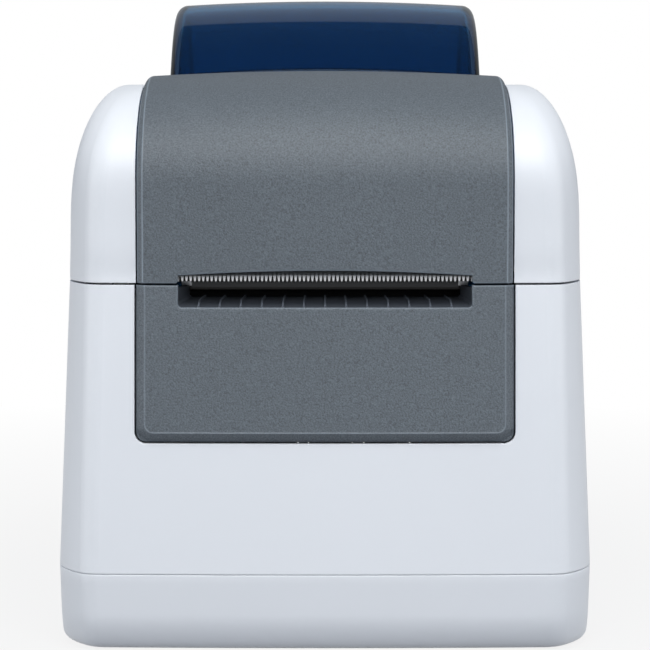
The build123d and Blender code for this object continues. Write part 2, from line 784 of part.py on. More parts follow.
# Movable mark sensor on its rail under the deck
parts["sensor_rail"] = rod(rail_radius, -well_half_width, well_half_width, sensor_y, rail_z)
sensor_body = block(-4.0, 4.0, sensor_y - 3.6, sensor_y + 3.6, rail_z - 3.0, deck_top - 0.2)
sensor_pip = block(-2.0, 2.0, sensor_y - 1.0, sensor_y + 1.0, deck_top - 0.5, deck_top + 0.6)
parts["mark_sensor"] = sensor_body + sensor_pip - rod(rail_radius + 0.05, -10, 10, sensor_y, rail_z)


# Roll guides: plates on racks that one pinion moves together, each with a turning hub
def rack(y_line):
    """Right guide's rack beside the pinion, its teeth facing the pinion at the middle."""
    inward = -1 if y_line > 0 else 1
    middle_y = roll_y + y_line
    outer_end = guide_rest_x + guide_thickness
    inner_end = outer_end - rack_length
    bar = block(inner_end, outer_end, middle_y - rack_back / 2, middle_y + rack_back / 2,
                rack_top - rack_height, rack_top)
    pitch = pi * rack_module
    face_y = middle_y + inward * rack_back / 2
    tip_y = face_y + inward * 2.1 * rack_module
    wide = pitch / 4 - gear_backlash / 2 + 0.42 * rack_module
    slim = pitch / 4 - gear_backlash / 2 - 0.34 * rack_module
    first = int((inner_end + wide) / pitch)
    last = int((guide_rest_x - wide) / pitch)
    teeth = []
    for k in range(first, last):
        x = (k + 0.5) * pitch
        corners = [(x - wide, face_y), (x + wide, face_y), (x + slim, tip_y), (x - slim, tip_y)]
        face = make_face(Polyline(*corners, close=True))
        teeth.append(extrude(Pos(0, 0, rack_top - rack_height) * face, rack_height))
    return fuse(bar, *teeth)


def guide(y_line):
    """Right guide: an upright plate with a bore for the hub, its stem and its rack."""
    plate_face = Pos(roll_y, roll_z) * Circle(guide_half_width)
    foot_half = guide_half_width + 5
    foot_z = roll_z - well_radius + 6
    leg = make_face(Polyline(
        (roll_y - guide_half_width, roll_z), (roll_y + guide_half_width, roll_z),
        (roll_y + foot_half, foot_z), (roll_y - foot_half, foot_z), close=True))
    plate_face = plate_face + leg - Pos(roll_y, roll_z) * Circle(hub_pin_radius + 0.05)
    plate = across(plate_face, guide_rest_x, guide_rest_x + guide_thickness)
    middle_y = roll_y + y_line
    stem = block(guide_rest_x, guide_rest_x + guide_thickness, middle_y - rack_back / 2,
                 middle_y + rack_back / 2, rack_top - rack_height, foot_z + 4)
    return fuse(plate, stem, rack(y_line))


def hub():
    """Right hub for the roll's core, with a pin that turns in the guide."""
    inner = guide_rest_x - hub_gap
    outer = guide_rest_x + guide_thickness + 0.3
    body = rod(hub_radius, inner - hub_length, inner, roll_y, roll_z)
    body = chamfer(body.faces().sort_by(Axis.X)[0].edges(), 2.0)
    pin = rod(hub_pin_radius, inner - 1, outer, roll_y, roll_z)
    cap = rod(hub_pin_radius + 1.5, outer, outer + 1.5, roll_y, roll_z)
    return fuse(body, pin, cap)


parts["right_guide"] = guide(rack_lines()[1])
parts["left_guide"] = mirror(guide(rack_lines()[0]), about=Plane.YZ)
parts["right_hub"] = hub()
parts["left_hub"] = mirror(hub(), about=Plane.YZ)
pinion_bottom = rack_top - rack_height
pinion_pin_radius = 2.0
rack_pinion = gear(rack_pinion_teeth, rack_module, rack_height, 90.0, pinion_pin_radius + bearing_clearance)
parts["guide_pinion"] = Pos(0, roll_y, pinion_bottom) * rack_pinion
pinion_pin = post(pinion_pin_radius, 0, roll_y, pinion_bottom - 1.0, roll_z - well_radius - well_wall)
pinion_pin_head = post(pinion_pin_radius + 1.5, 0, roll_y, pinion_bottom - 2.2, pinion_bottom - 0.3)
parts["pinion_pin"] = pinion_pin + pinion_pin_head


# Circuit board and the parts soldered to it
def circuit_board():
    board = band(board_half_width, board_front, board_rear, board_bottom, board_top)
    holes = [post(1.6, x, y, board_bottom - 1, board_top + 1) for x, y in board_posts()]
    return cut(board, *holes)


parts["circuit_board"] = circuit_board()
# Each chip as its centre, its width and depth, and its height
chips = [
    (0, 30, 14, 14, 1.6),
    (22, 34, 10, 18, 2.0),
    (-26, 40, 22, 8, 2.2),
    (-20, 4, 12, 12, 4.0),
    (24, 2, 12, 12, 5.0),
]
parts["board_chips"] = [
    block(x - w / 2, x + w / 2, y - d / 2, y + d / 2, board_top, board_top + h) for x, y, w, d, h in chips
]
capacitors = [(39, 40, 5.0, 16.0), (39, 52, 5.0, 16.0), (-39, 20, 4.0, 11.0)]
parts["board_capacitors"] = [post(r, x, y, board_top, board_top + h) for x, y, r, h in capacitors]
parts["board_screws"] = [
    screw(3.0, 1.5, x, y, board_bottom, board_top, board_top + 1.6) for x, y in board_posts()
]
socket_face = body_rear - socket_recess


def socket(name):
    """Shielded block with its mouth in the rear wall."""
    x, width, height, depth = socket_list[name]
    shell = block(x - width / 2, x + width / 2, socket_face - depth, socket_face,
                  board_top, board_top + height)
    if name == "power_inlet":
        mouth = bar_y(3.2, x, board_top + height / 2, socket_face - 9, socket_face + 1)
        return shell - mouth + bar_y(1.1, x, board_top + height / 2, socket_face - 10, socket_face - 1)
    lip = 1.2
    mouth = block(x - width / 2 + lip, x + width / 2 - lip, socket_face - depth * 0.6,
                  socket_face + 1, board_top + lip, board_top + height - lip)
    shell = shell - mouth
    if name == "usb_socket":
        tongue = block(x - 2.8, x + 2.8, socket_face - depth * 0.7, socket_face - 1.5,
                       board_top + 4.0, board_top + 7.2)
        shell = shell + tongue
    return shell


for socket_name in socket_list:
    parts[socket_name] = socket(socket_name)


# Power switch: a rocker in a bezel, in the rear wall
switch_back = body_rear - bezel_depth
wall_y = body_rear - rear_draft * (rocker_z - tray_top)


def bezel_block(width, height, y0, y1):
    """Block about the switch's axis."""
    return Pos(rocker_x, (y0 + y1) / 2, rocker_z) * Box(width, y1 - y0, height)


def switch_bezel():
    """Body in the wall's hole with a lip outside it and room for the rocker."""
    fit = 0.2
    lip_width = 1.2
    body = bezel_block(bezel_width - fit, bezel_height - fit, switch_back, wall_y + 1.0)
    lip = bezel_block(bezel_width + 2 * lip_width, bezel_height + 2 * lip_width, wall_y + 0.3, wall_y + 1.5)
    room = bezel_block(rocker_width + 0.6, rocker_height + 0.6, wall_y - 12, wall_y + 5)
    return body + lip - room


def rocker():
    """Wedge with a round face, on a pin across the bezel."""
    pivot_y = wall_y - 4.0
    reach = rocker_height / 2 - 0.8
    back = 4.0
    face = make_face([
        Line((pivot_y - back, rocker_z - back), (pivot_y + 3.4, rocker_z - reach)),
        ThreePointArc((pivot_y + 3.4, rocker_z - reach), (pivot_y + 4.6, rocker_z),
                      (pivot_y + 3.4, rocker_z + reach)),
        Line((pivot_y + 3.4, rocker_z + reach), (pivot_y - back, rocker_z + back)),
        Line((pivot_y - back, rocker_z + back), (pivot_y - back, rocker_z - back)),
    ])
    body = across(face, rocker_x - rocker_width / 2, rocker_x + rocker_width / 2)
    pin_half = rocker_width / 2 + 0.25
    return body + rod(1.0, rocker_x - pin_half, rocker_x + pin_half, pivot_y, rocker_z)


parts["switch_bezel"] = switch_bezel()
parts["power_rocker"] = rocker()


lid_outside = lid_form()
lid_inside = lid_form(wall, lid_bottom - 1.0)


# Lid shell: two hollow side pods joined by a bridge over the hinge
def lid_shell():
    """The lid's form, hollowed in the pods and opened between them."""
    inner_x = strip_half_width + wall
    far = 2 * lid_top
    pods = lid_inside & block(inner_x, far, -far, far, 0, far)
    front_room = band(strip_half_width, -far, cover_end, 0, far)
    roll_room = band(strip_half_width, cover_end - 1, lid_rear - wall, 0, lid_top - wall) & lid_inside
    window_room = band(window_half_width + window_gap, cover_end - 1, far,
                       window_rear_z - window_gap / 2, far)
    frame_room = band(inner_x + 1.0, lid_front + wall, frame_rear + 0.3, 0, frame_bottom + frame_plate + 0.2)
    body = cut(lid_outside, *both(pods), front_room, roll_room, window_room, frame_room)
    return fuse(body, *both(lid_knuckle()))


def lid_knuckle():
    inner_wall = lid_rear - wall
    x0 = knuckle_inner + knuckle_side + knuckle_gap
    x1 = knuckle_outer - knuckle_side - knuckle_gap
    return knuckle(x0, x1, inner_wall, lid_bottom, hinge_z + knuckle_radius)


parts["lid_shell"] = lid_shell()


# Height of the crown at the controls, on the bow of the raised field
crown_z = lid_top + crown_rise + crown_bow * (1 - (button_x / strip_half_width) ** 2)
control_top = crown_z - control_reach
control_posts = (lamp_x - 8.0, button_x + 10.0)


# Top cover: grey moulding with a rim flush with the pods and a raised field
def top_cover():
    """The lid's form and the raised field, hollow below, with the exit's arched edge."""
    far = 2 * lid_top
    keep = band(strip_half_width - strip_gap, -far, cover_end, 0, far)
    skin = lid_outside & keep
    field = field_form(strip_half_width - strip_rim - 0.2)
    room = field_form(strip_half_width - strip_rim - 2.4, wall + 0.3)
    cover = fuse(skin, field) - lid_inside - (room & keep)
    arch = make_face([
        Line((-exit_half_width, lid_bottom - 1), (exit_half_width, lid_bottom - 1)),
        Line((exit_half_width, lid_bottom - 1), (exit_half_width, exit_head_end)),
        ThreePointArc((exit_half_width, exit_head_end), (0, exit_head_mid),
                      (-exit_half_width, exit_head_end)),
        Line((-exit_half_width, exit_head_end), (-exit_half_width, lid_bottom - 1)),
    ])
    notch = Pos(0, lid_front, 0) * extrude(Plane.XZ * arch, 12, both=True)
    posts = [post(2.5, x, button_y, control_top, crown_z - wall + 0.5) for x in control_posts]
    cover = fuse(cover, *posts)
    button_hole = post(button_radius + button_gap, button_x, button_y, crown_z - 5, crown_z + 5)
    lamp_hole = post(lamp_radius + 0.05, lamp_x, button_y, crown_z - 5, crown_z + 5)
    return cut(cover, notch, button_hole, lamp_hole)


parts["top_cover"] = top_cover()


# Roll window: see-through dome over the roll, open below
def window_face(radius, skirt, rear_drop, front):
    """Side view of the dome: an arc about the roll's axis over a skirt that drops to the rear."""
    rear_z = window_rear_z
    rear = roll_y + sqrt(radius ** 2 - (rear_z - roll_z) ** 2)
    lead_z = roll_z + sqrt(radius ** 2 - (front - roll_y) ** 2)
    crest = (roll_y, roll_z + radius)
    edges = [
        ThreePointArc((front, lead_z), crest, (rear, rear_z)),
        Line((rear, rear_z), (rear - 6.0, rear_z - rear_drop)),
        Line((rear - 6.0, rear_z - rear_drop), (window_skirt_rear, skirt)),
        Line((window_skirt_rear, skirt), (front, skirt)),
        Line((front, skirt), (front, lead_z)),
    ]
    return make_face(edges)


def dome(half, radius, skirt, rear_drop, front):
    """Solid dome, fuller in the middle than at its ends by the window's bow."""
    end_face = window_face(radius - window_bow, skirt, rear_drop, front)
    mid_face = window_face(radius, skirt, rear_drop, front)
    stations = [(-half, end_face), (0, mid_face), (half, end_face)]
    return loft([Plane.YZ.offset(x) * face for x, face in stations])


def roll_window():
    front = cover_end + 0.4
    outer = dome(window_half_width, window_radius, window_skirt_z, 0.0, front)
    ends = [outer.faces().sort_by(Axis.X)[k] for k in (0, -1)]
    arcs = [end.edges().sort_by(Edge.length)[-1] for end in ends]
    outer = fillet(arcs, window_edge)
    inner = dome(window_half_width - window_wall, window_radius - window_wall, window_skirt_z - 12,
                 20.0, front - 1.0)
    return outer - inner


parts["roll_window"] = roll_window()


# The catch that each latch hook holds, and the plate of the bracket under the pocket's roof
catch_y = hook_y + hook_depth + hook_nose + hook_seat
bracket_top = pocket_top - pocket_wall


# Lid frame: dark moulding that closes the pods below and holds the print head's bracket
def lid_frame():
    """Plate with a pocket for the print head, stiffening ribs and a catch on each side."""
    low = frame_bottom
    plate_zone = band(body_half_width, body_front, frame_rear, low, low + frame_plate)
    slab = lid_form(wall + 0.3, low) & plate_zone
    latch_notch = block(hook_x - 1.5, hook_x + hook_width + 1.5, hook_y - latch_travel - 0.5, catch_y,
                        low - 1, low + 10)
    catch = block(hook_x - 0.5, hook_x + hook_width + 0.5, catch_y, catch_y + 3.0,
                  low + frame_plate - 0.5, low + 5.0)
    slab = fuse(cut(slab, *both(latch_notch)), *both(catch))
    pocket = band(pocket_half_width + pocket_wall, pocket_front, pocket_rear, low, pocket_top)
    pocket_room = band(pocket_half_width, pocket_front - 10, pocket_rear - pocket_wall, low - 5,
                       pocket_top - pocket_wall)
    frame = fuse(slab, pocket) - pocket_room
    ribs = [block(x - 0.8, x + 0.8, pocket_rear - 0.5, frame_rear, low + frame_plate - 0.5, low + 12)
            for x in (-36, -12, 12, 36)]
    return fuse(frame, *ribs)


parts["lid_frame"] = lid_frame()


# Print head: ceramic strip on an aluminium sink that pivots in a steel bracket on two springs
ceramic_low = platen_z + platen_radius + head_gap
sink_low = ceramic_low + ceramic_thickness
sink_top = sink_low + sink_thickness
parts["head_ceramic"] = band(head_half_width - 2.0, head_front, head_rear, ceramic_low, sink_low)


def head_sink():
    plate = band(head_half_width, head_front, head_rear, sink_low, sink_top)
    grooves = [block(x - 1.2, x + 1.2, head_front - 1, head_rear + 1, sink_top - 3.0, sink_top + 1)
               for x in range(-36, 37, 9) if abs(x) != spring_x]
    plate = cut(plate, *grooves)
    lug = block(head_half_width - 6, head_half_width - 2, head_rear - 1, head_pivot_y + 3.2,
                head_pivot_z - 3.2, head_pivot_z + 3.2)
    plate = fuse(plate, *both(lug))
    return plate - rod(head_pivot_radius + bearing_clearance, -head_half_width, head_half_width,
                       head_pivot_y, head_pivot_z)


parts["head_sink"] = head_sink()
pivot_half = head_half_width + 1.0 + bracket_thickness
parts["head_pivot_pin"] = rod(head_pivot_radius, -pivot_half, pivot_half, head_pivot_y, head_pivot_z)


def head_bracket():
    x_side = head_half_width + 1.0
    top = band(x_side + bracket_thickness, head_front, head_pivot_y + 5, bracket_top - bracket_thickness,
               bracket_top)
    cheek_face = make_face(Polyline(
        (head_front + 6, bracket_top), (head_pivot_y + 5, bracket_top), (head_pivot_y + 5, head_pivot_z - 4),
        (head_pivot_y - 5, head_pivot_z - 4), close=True))
    cheek = across(cheek_face, x_side, x_side + bracket_thickness)
    bracket = fuse(top, *both(cheek))
    return bracket - rod(head_pivot_radius, -pivot_half - 1, pivot_half + 1, head_pivot_y, head_pivot_z)


parts["head_bracket"] = head_bracket()


def head_spring(x):
    """Compression spring between the sink and the bracket."""
    low = sink_top + spring_wire
    high = bracket_top - bracket_thickness - spring_wire
    path = Helix(pitch=(high - low) / spring_turns, height=high - low, radius=spring_radius)
    section = Plane(origin=path @ 0, z_dir=path % 0) * RegularPolygon(spring_wire, 4)
    coil = sweep(section, path=path, is_frenet=True)
    return Pos(x, platen_y, low) * coil


parts["head_springs"] = [head_spring(-spring_x), head_spring(spring_x)]


# Tear bar: stainless strip with a row of teeth, on a dark holder
def tear_bar():
    """Toothed strip drawn flat, then tilted so that its teeth point forward and down."""
    half = tooth_count * tooth_pitch / 2
    points = [(-half, 0.0)]
    for k in range(tooth_count):
        left = -half + k * tooth_pitch
        points.append((left + tooth_pitch / 2, -tooth_depth))
        points.append((left + tooth_pitch, 0.0))
    outline_points = points + [(half, bar_leg), (-half, bar_leg)]
    strip = extrude(make_face(Polyline(*outline_points, close=True)), bar_thickness)
    return Pos(0, bar_root_y, bar_root_z) * Rot(bar_tilt, 0, 0) * strip


parts["tear_bar"] = tear_bar()


def tear_holder():
    """Bar behind the strip, cut to its slope, with a lip that hangs in the exit."""
    slope = tan(radians(bar_tilt))
    face_y = bar_root_y + holder_step
    face_z = bar_root_z + slope * holder_step - 0.05
    back_y = head_front - 1.0
    low = lid_bottom + 0.3
    high = bar_root_z + 5.5
    top_y = bar_root_y + 5.5 / slope
    bar = across(make_face(Polyline((face_y, low), (back_y, low), (back_y, high), (top_y, high),
                                    (face_y, face_z), close=True)), -pocket_half_width, pocket_half_width)
    lip_half = exit_rear_half_width - 0.6
    lip = band(lip_half, face_y, back_y - 2.0, lid_bottom - holder_lip, low + 1.0)
    return bar + lip


parts["tear_bar_holder"] = tear_holder()


# Controls on the crown: feed button, lamp and the small board that hangs below them
button_low = crown_z - button_sink - button_height
parts["feed_button"] = fuse(
    post(button_radius, button_x, button_y, button_low, crown_z - button_sink),
    post(button_radius + 1.2, button_x, button_y, button_low, button_low + button_flange),
)
parts["lamp_lens"] = post(lamp_radius, lamp_x, button_y, control_top + 1.5, crown_z)
parts["control_board"] = block(control_posts[0] - 3, control_posts[1] + 3, button_y - 6, button_y + 6,
                               control_top - board_thickness, control_top)
parts["control_switch"] = [
    block(button_x - 3, button_x + 3, button_y - 3, button_y + 3, control_top, control_top + 0.8),
    block(lamp_x - 1.5, lamp_x + 1.5, button_y - 1.5, button_y + 1.5, control_top, control_top + 1.5),
]


# Side latches: a sliding tab in each side wall with a hook, and a catch on the lid
def latch_slide():
    """Tab flush with the wall, and an arm that carries an upright hook behind it."""
    z0 = latch_z
    z1 = latch_z + latch_height
    tab_zone = block(hook_x - 5, body_half_width + 5, latch_y, latch_y + latch_length, z0, z1)
    tab = (case_form(z0, z1) - case_form(z0 - 0.01, z1 + 0.01, 1.8)) & tab_zone
    hook_rear = hook_y + hook_depth
    arm = block(hook_x, body_half_width, hook_y, hook_rear, z0 + 2, z0 + 5) & case_form(z0, z1, 1.0)
    blade = block(hook_x, hook_x + hook_width, hook_y, hook_rear, z0 + 2, hook_top)
    nose = block(hook_x, hook_x + hook_width, hook_rear, hook_rear + hook_nose, hook_top - 3.0, hook_top)
    return fuse(tab, arm, blade, nose)


right_latch = latch_slide()
parts["right_latch"] = right_latch
parts["left_latch"] = mirror(right_latch, about=Plane.YZ)

os.makedirs("parts", exist_ok=True)
for name, shape in parts.items():
    solids = shape if isinstance(shape, list) else [shape]
    solids = [s for item in solids for s in item.solids()]
    piece = solids[0] if len(solids) == 1 else Compound(children=solids)
    piece.label = name
    export_step(piece, f"parts/{name}.step")
    print(name, len(solids), round(sum(s.volume for s in solids)))
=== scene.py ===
"""A desktop label printer with a rear-hinged lid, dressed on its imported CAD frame.

Lengths are in metres, in the frame's own axes: +X right, -Y front, +Z up. Sizes that are read
more easily in millimetres are written times mm.
"""
import json
import math
import bpy
import numpy as np
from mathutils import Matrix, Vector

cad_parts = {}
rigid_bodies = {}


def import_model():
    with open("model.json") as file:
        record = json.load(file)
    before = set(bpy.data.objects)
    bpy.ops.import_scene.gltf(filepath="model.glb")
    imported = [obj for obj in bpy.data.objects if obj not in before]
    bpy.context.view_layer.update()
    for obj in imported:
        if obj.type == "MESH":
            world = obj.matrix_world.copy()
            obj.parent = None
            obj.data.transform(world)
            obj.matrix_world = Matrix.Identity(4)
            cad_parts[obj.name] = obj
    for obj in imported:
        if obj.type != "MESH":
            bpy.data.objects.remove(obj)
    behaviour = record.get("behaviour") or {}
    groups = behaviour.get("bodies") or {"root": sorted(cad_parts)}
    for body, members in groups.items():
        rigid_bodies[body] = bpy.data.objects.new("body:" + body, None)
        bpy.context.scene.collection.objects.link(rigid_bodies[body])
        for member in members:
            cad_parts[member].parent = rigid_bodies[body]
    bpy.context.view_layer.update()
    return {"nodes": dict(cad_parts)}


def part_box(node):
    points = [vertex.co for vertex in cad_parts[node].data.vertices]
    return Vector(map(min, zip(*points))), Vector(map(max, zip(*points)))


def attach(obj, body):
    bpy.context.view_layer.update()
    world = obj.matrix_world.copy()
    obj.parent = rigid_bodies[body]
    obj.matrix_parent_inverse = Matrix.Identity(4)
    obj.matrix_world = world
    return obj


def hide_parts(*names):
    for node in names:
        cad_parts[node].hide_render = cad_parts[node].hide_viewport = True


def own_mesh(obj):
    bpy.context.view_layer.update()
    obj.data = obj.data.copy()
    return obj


for leftover in list(bpy.data.objects):
    bpy.data.objects.remove(leftover)
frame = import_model()
nodes = frame["nodes"]
mm = 0.001


# White housing, bottom tray and lid pods: moulded in bluish-white plastic with a fine satin
# surface and slightly rounded edges. The tray is screwed up into the housing, and the lid's
# shell turns on the rear hinge.
class Net:
    """A socket of a material's node tree. Sums on it add Math nodes, and add() any other node."""

    def __init__(self, tree, socket=None):
        self.tree = tree
        self.socket = socket

    def add(self, kind, settings=(), sockets=(), out=0):
        """A node of this kind, with its settings made first and then its sockets filled."""
        node = self.tree.nodes.new("ShaderNode" + kind)
        for name, value in dict(settings).items():
            setattr(node, name, value)
        for name, value in dict(sockets).items():
            if isinstance(value, Net):
                self.tree.links.new(value.socket, node.inputs[name])
            else:
                node.inputs[name].default_value = value
        return Net(self.tree, node.outputs[out])

    def math(self, operation, *others):
        return self.add("Math", {"operation": operation}, enumerate((self, *others)))

    def __add__(self, other):
        return self.math("ADD", other)

    def __sub__(self, other):
        return self.math("SUBTRACT", other)

    def __rsub__(self, other):
        return self.math("MULTIPLY", -1.0) + other

    def __mul__(self, other):
        return self.math("MULTIPLY", other)

    def __truediv__(self, other):
        return self.math("DIVIDE", other)

    __radd__ = __add__
    __rmul__ = __mul__

    def clamp(self):
        return self.add("Clamp", (), {0: self})

    def ramp(self, low, high):
        """This number's share of the way from low to high, held between 0 and 1."""
        return ((self - low) / (high - low)).clamp()

    def parts(self):
        """The three numbers of a vector."""
        node = self.add("SeparateXYZ", (), {0: self}).socket.node
        return [Net(self.tree, out) for out in node.outputs]

    def blend(self, first, second):
        """Colour that goes from the first to the second as this number goes from 0 to 1."""
        kinds = {"data_type": "RGBA"}
        return self.add("Mix", kinds, {0: self, 6: first, 7: second}, out=2)

    def stretched(self, x, y, z):
        """A vector with its three numbers multiplied by these."""
        return self.add("VectorMath", {"operation": "MULTIPLY"}, {0: self, 1: (x, y, z)})

    def noise(self, scale, detail=2.0, roughness=0.5):
        """Cloudy noise from 0 to 1 read at this vector."""
        return self.add("TexNoise", (), {"Vector": self, "Scale": scale, "Detail": detail,
                                         "Roughness": roughness})

    def bump(self, distance, **more):
        """Normal that this height gives, at a full strength of so many metres."""
        height = {"Height": self, "Strength": 1.0, "Distance": distance}
        return self.add("Bump", (), {**height, **more})


def srgb(red, green, blue):
    """A colour given as it shows on a screen, 0 to 255, as the linear colour of a shader."""
    shown = np.array([red, green, blue]) / 255
    linear = np.where(shown <= 0.04045, shown / 12.92, ((shown + 0.055) / 1.055) ** 2.4)
    return (*(float(v) for v in linear), 1.0)


def surface(name, **constants):
    """A material with one Principled shader, its tree, that shader and the object's place."""
    material = bpy.data.materials.new(name)
    material.use_nodes = True
    tree = material.node_tree
    shader = tree.nodes["Principled BSDF"]
    for key, value in constants.items():
        shader.inputs[key.replace("_", " ")].default_value = value
    return material, tree, shader, Net(tree).add("TexCoord", out="Object")


def feed(tree, shader, **links):
    """Links results to the shader's sockets of these names."""
    for key, value in links.items():
        tree.links.new(value.socket, shader.inputs[key.replace("_", " ")])


def toned(colour, share):
    """The colour made darker or lighter by this share."""
    return tuple(min(1.0, c * (1 + share)) for c in colour[:3]) + (1.0,)


def moulded(name, colour, roughness, grain, depth, shade=0.04, mottle=0.0, edge=0.0, wear=0.0,
            **constants):
    """Moulded plastic: a grain of this cell size and depth, cloudy shading and soft edges.

    The shade is the reach of the colour either way, and mottle how much of it follows the grain.
    An edge radius rounds the CAD's sharp edges. A painted highlight lightens these edges, or
    where there is no edge radius, the points that the mesh's own attribute marks for it.
    """
    material, tree, shader, place = surface(name, **constants)
    cells = place.noise(1 / grain, 3.0, 0.6)
    clouds = place.noise(cloud_scale)
    mix = (1 - mottle) * clouds + mottle * cells
    tone = mix.blend(toned(colour, -shade), toned(colour, shade))
    more = {}
    highlight_share = place.add("Attribute", {"attribute_name": "wear"}, out="Fac")
    if edge:
        rounded = place.add("Bevel", {"samples": 4}, {"Radius": edge})
        flat = place.add("NewGeometry", out="Normal")
        along = place.add("VectorMath", {"operation": "DOT_PRODUCT"}, {0: rounded, 1: flat}, out=1)
        highlight_share = (1 - along).ramp(*highlight_turn)
        more["Normal"] = rounded
    # Painted highlight: the marked edges are given a lighter colour.
    if wear:
        tone = highlight_share.blend(tone, toned(colour, wear))
    feed(tree, shader, Base_Color=tone, Normal=cells.bump(depth, **more),
         Roughness=roughness - gloss_reach + 2 * gloss_reach * cells)
    return material


def finish_nodes(material, *names):
    """Gives CAD nodes a finished material in place of their plain one."""
    for name in names:
        slots = nodes[name].data.materials
        for k in range(len(slots)):
            slots[k] = material


cloud_scale = 22.0              # cells of the cloudy shading to a metre
gloss_reach = 0.03              # how far the roughness strays with the grain, either way
highlight_turn = (0.01, 0.2)         # 1 less the cosine of an edge's turn, where the painted highlight starts and ends
# Painted highlight: the white's rounded edges are made a little lighter in colour.
white = moulded("white_plastic", srgb(219, 223, 230), 0.42, 0.5 * mm, 0.006 * mm, shade=0.02,
                mottle=0.3, edge=0.6 * mm, wear=0.22)
finish_nodes(white, "housing", "lid_shell")


# Grey front panel: one moulding that fills the housing's front opening. A raised, spark-eroded
# field stands on it inside a smooth rim, and the label exit is cut into its upper edge.
strip_half = 57.1 * mm
panel_top = 111.4 * mm
panel_low = 64.2 * mm
panel_radius = 3.0 * mm
tray_top = 24.2 * mm
front_foot = -112.0 * mm
front_lean = 0.0894
front_bow = 1.5 * mm
bow_half = 70.5 * mm
rim_width = 2.6 * mm
rim_sink, foot_sink = 0.4 * mm, 0.6 * mm    # the rim's outer edge lies back, more so at the foot
foot_band, foot_fade = 4 * mm, 2 * mm       # how high up that goes, and how soon it is in full
field_rise = 1.5 * mm
field_low, field_radius = panel_low + 2.8 * mm, 2.7 * mm
bead_rise, bead_middle, bead_half = 0.15 * mm, 0.15 * mm, 0.35 * mm
edge_round, exit_round = 0.4 * mm, 0.5 * mm
edge_highlight_width = 0.5 * mm
skin = 2.3 * mm
exit_half = 44.3 * mm
exit_sill = 104.8 * mm
exit_radius = 1.2 * mm
dense_band = 6 * mm                         # the lowest rows of points stand close together
hair = 0.0005 * mm
crease_angle = math.radians(35.0)

# Painted highlight: where a grey piece marks its edges, they are painted much lighter.
grey = moulded("grey_plastic", srgb(86, 94, 102), 0.49, 0.5 * mm, 0.2 * mm, shade=1.0,
               mottle=0.95, wear=1.3)


def rounded_inside(x, z, half, low, radius):
    """Depth inside a shape that is open above, with round lower corners, negative outside.

    The depth is the radius less the distance to the corner's centre where both are past it,
    and the smaller distance to the side or the lower edge elsewhere.
    """
    past_side = np.abs(x) - (half - radius)
    past_low = (low + radius) - z
    corner = np.hypot(np.maximum(past_side, 0), np.maximum(past_low, 0))
    return radius - corner - np.minimum(np.maximum(past_side, past_low), 0)


def rounding(depth, radius):
    """Fall of a quarter-round edge at this depth inside it: the radius at 0, none past it."""
    share = np.clip(1 - depth / radius, 0, 1)
    return radius * (1 - np.sqrt(np.clip(1 - share ** 2, 0, 1)))


def round_foot(x, half, low, radius):
    """Height of a lower edge: flat, with a quarter circle up to each side."""
    past = np.clip(np.abs(x) - (half - radius), 0, radius)
    return low + radius - np.sqrt(radius ** 2 - past ** 2)


def bead(depth):
    """Share of the fine bead's height at this depth inside the field's edge: a tent."""
    return np.clip(1 - np.abs(depth - bead_middle) / bead_half, 0, 1)


def edge_highlight(depth):
    """Share of painted highlight at this depth inside an edge: from 1 at the edge down to 0."""
    return np.clip(1 - depth / edge_highlight_width, 0, 1)


def crowded(low, high, count, pull=2.0):
    """Numbers from low to high whose steps are small at both ends.

    From the middle out, the distance still to go falls with this power of an even share.
    """
    t = np.linspace(-1, 1, count)
    bent = np.sign(t) * (1 - (1 - np.abs(t)) ** pull)
    return low + (high - low) * (bent + 1) / 2


def shell(name, outer, inner, material, highlight_share=None):
    """Closed shell between two grids of points of the same shape, joined round their edges.

    The last argument is each outer point's share of painted highlight, from 0 to 1.
    """
    rows, columns = outer.shape[:2]
    points = np.concatenate([outer.reshape(-1, 3), inner.reshape(-1, 3)])
    index = np.arange(rows * columns).reshape(rows, columns)
    a, b, c, d = index[:-1, :-1], index[:-1, 1:], index[1:, 1:], index[1:, :-1]
    front = np.stack([a, b, c, d], axis=-1).reshape(-1, 4)
    rim = np.concatenate([index[0], index[1:, -1], index[-1, -2::-1], index[-2:0:-1, 0]])
    after = np.roll(rim, -1)
    back = rows * columns
    wall = np.stack([after, rim, rim + back, after + back], axis=-1)
    faces = np.concatenate([front, front[:, ::-1] + back, wall])
    piece = solid(name, points, faces.tolist(), material)
    if highlight_share is not None:
        keep_highlight(piece, np.concatenate([np.clip(highlight_share, 0, 1).ravel(), np.zeros(back)]))
    return piece


def keep_highlight(piece, values):
    """Keeps each point's share of painted highlight, 0 to 1, for the material to read."""
    kept = piece.data.attributes.new("wear", "FLOAT", "POINT")
    kept.data.foreach_set("value", values.astype(np.float32))


def smooth(mesh):
    """Smooth shading up to the crease angle."""
    mesh.polygons.foreach_set("use_smooth", np.ones(len(mesh.polygons), dtype=bool))
    mesh.set_sharp_from_angle(angle=crease_angle)


def solid(name, points, faces, material):
    """Mesh object of these points and faces, shaded smooth up to the crease angle."""
    mesh = bpy.data.meshes.new(name)
    mesh.from_pydata(np.asarray(points).reshape(-1, 3).tolist(), [], faces)
    mesh.materials.append(material)
    smooth(mesh)
    mesh.validate()
    piece = bpy.data.objects.new(name, mesh)
    bpy.context.scene.collection.objects.link(piece)
    return piece


def dress(piece, slot, body, *replaced):
    """Puts a piece on its body, in place of the CAD nodes it stands for; the slot is not used."""
    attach(piece, body)
    if replaced:
        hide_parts(*replaced)


def columns_across(half, notch, edge):
    """X stations, close together at the sides, the notch's two edges and the field's edge."""
    side = crowded(notch + 1.5 * mm, edge - 1.5 * mm, 10)
    margin = np.linspace(edge - 1.4 * mm, half, 44)
    step = crowded(notch - 1.6 * mm, notch - 2 * hair, 16, 1.5)
    outside = notch + np.geomspace(0.02, 1.3, 12) * mm
    middle = np.linspace(0, notch - 1.8 * mm, 24)
    right = np.concatenate([middle, step, [notch], outside, side, margin])
    return np.concatenate([-right[:0:-1], right])


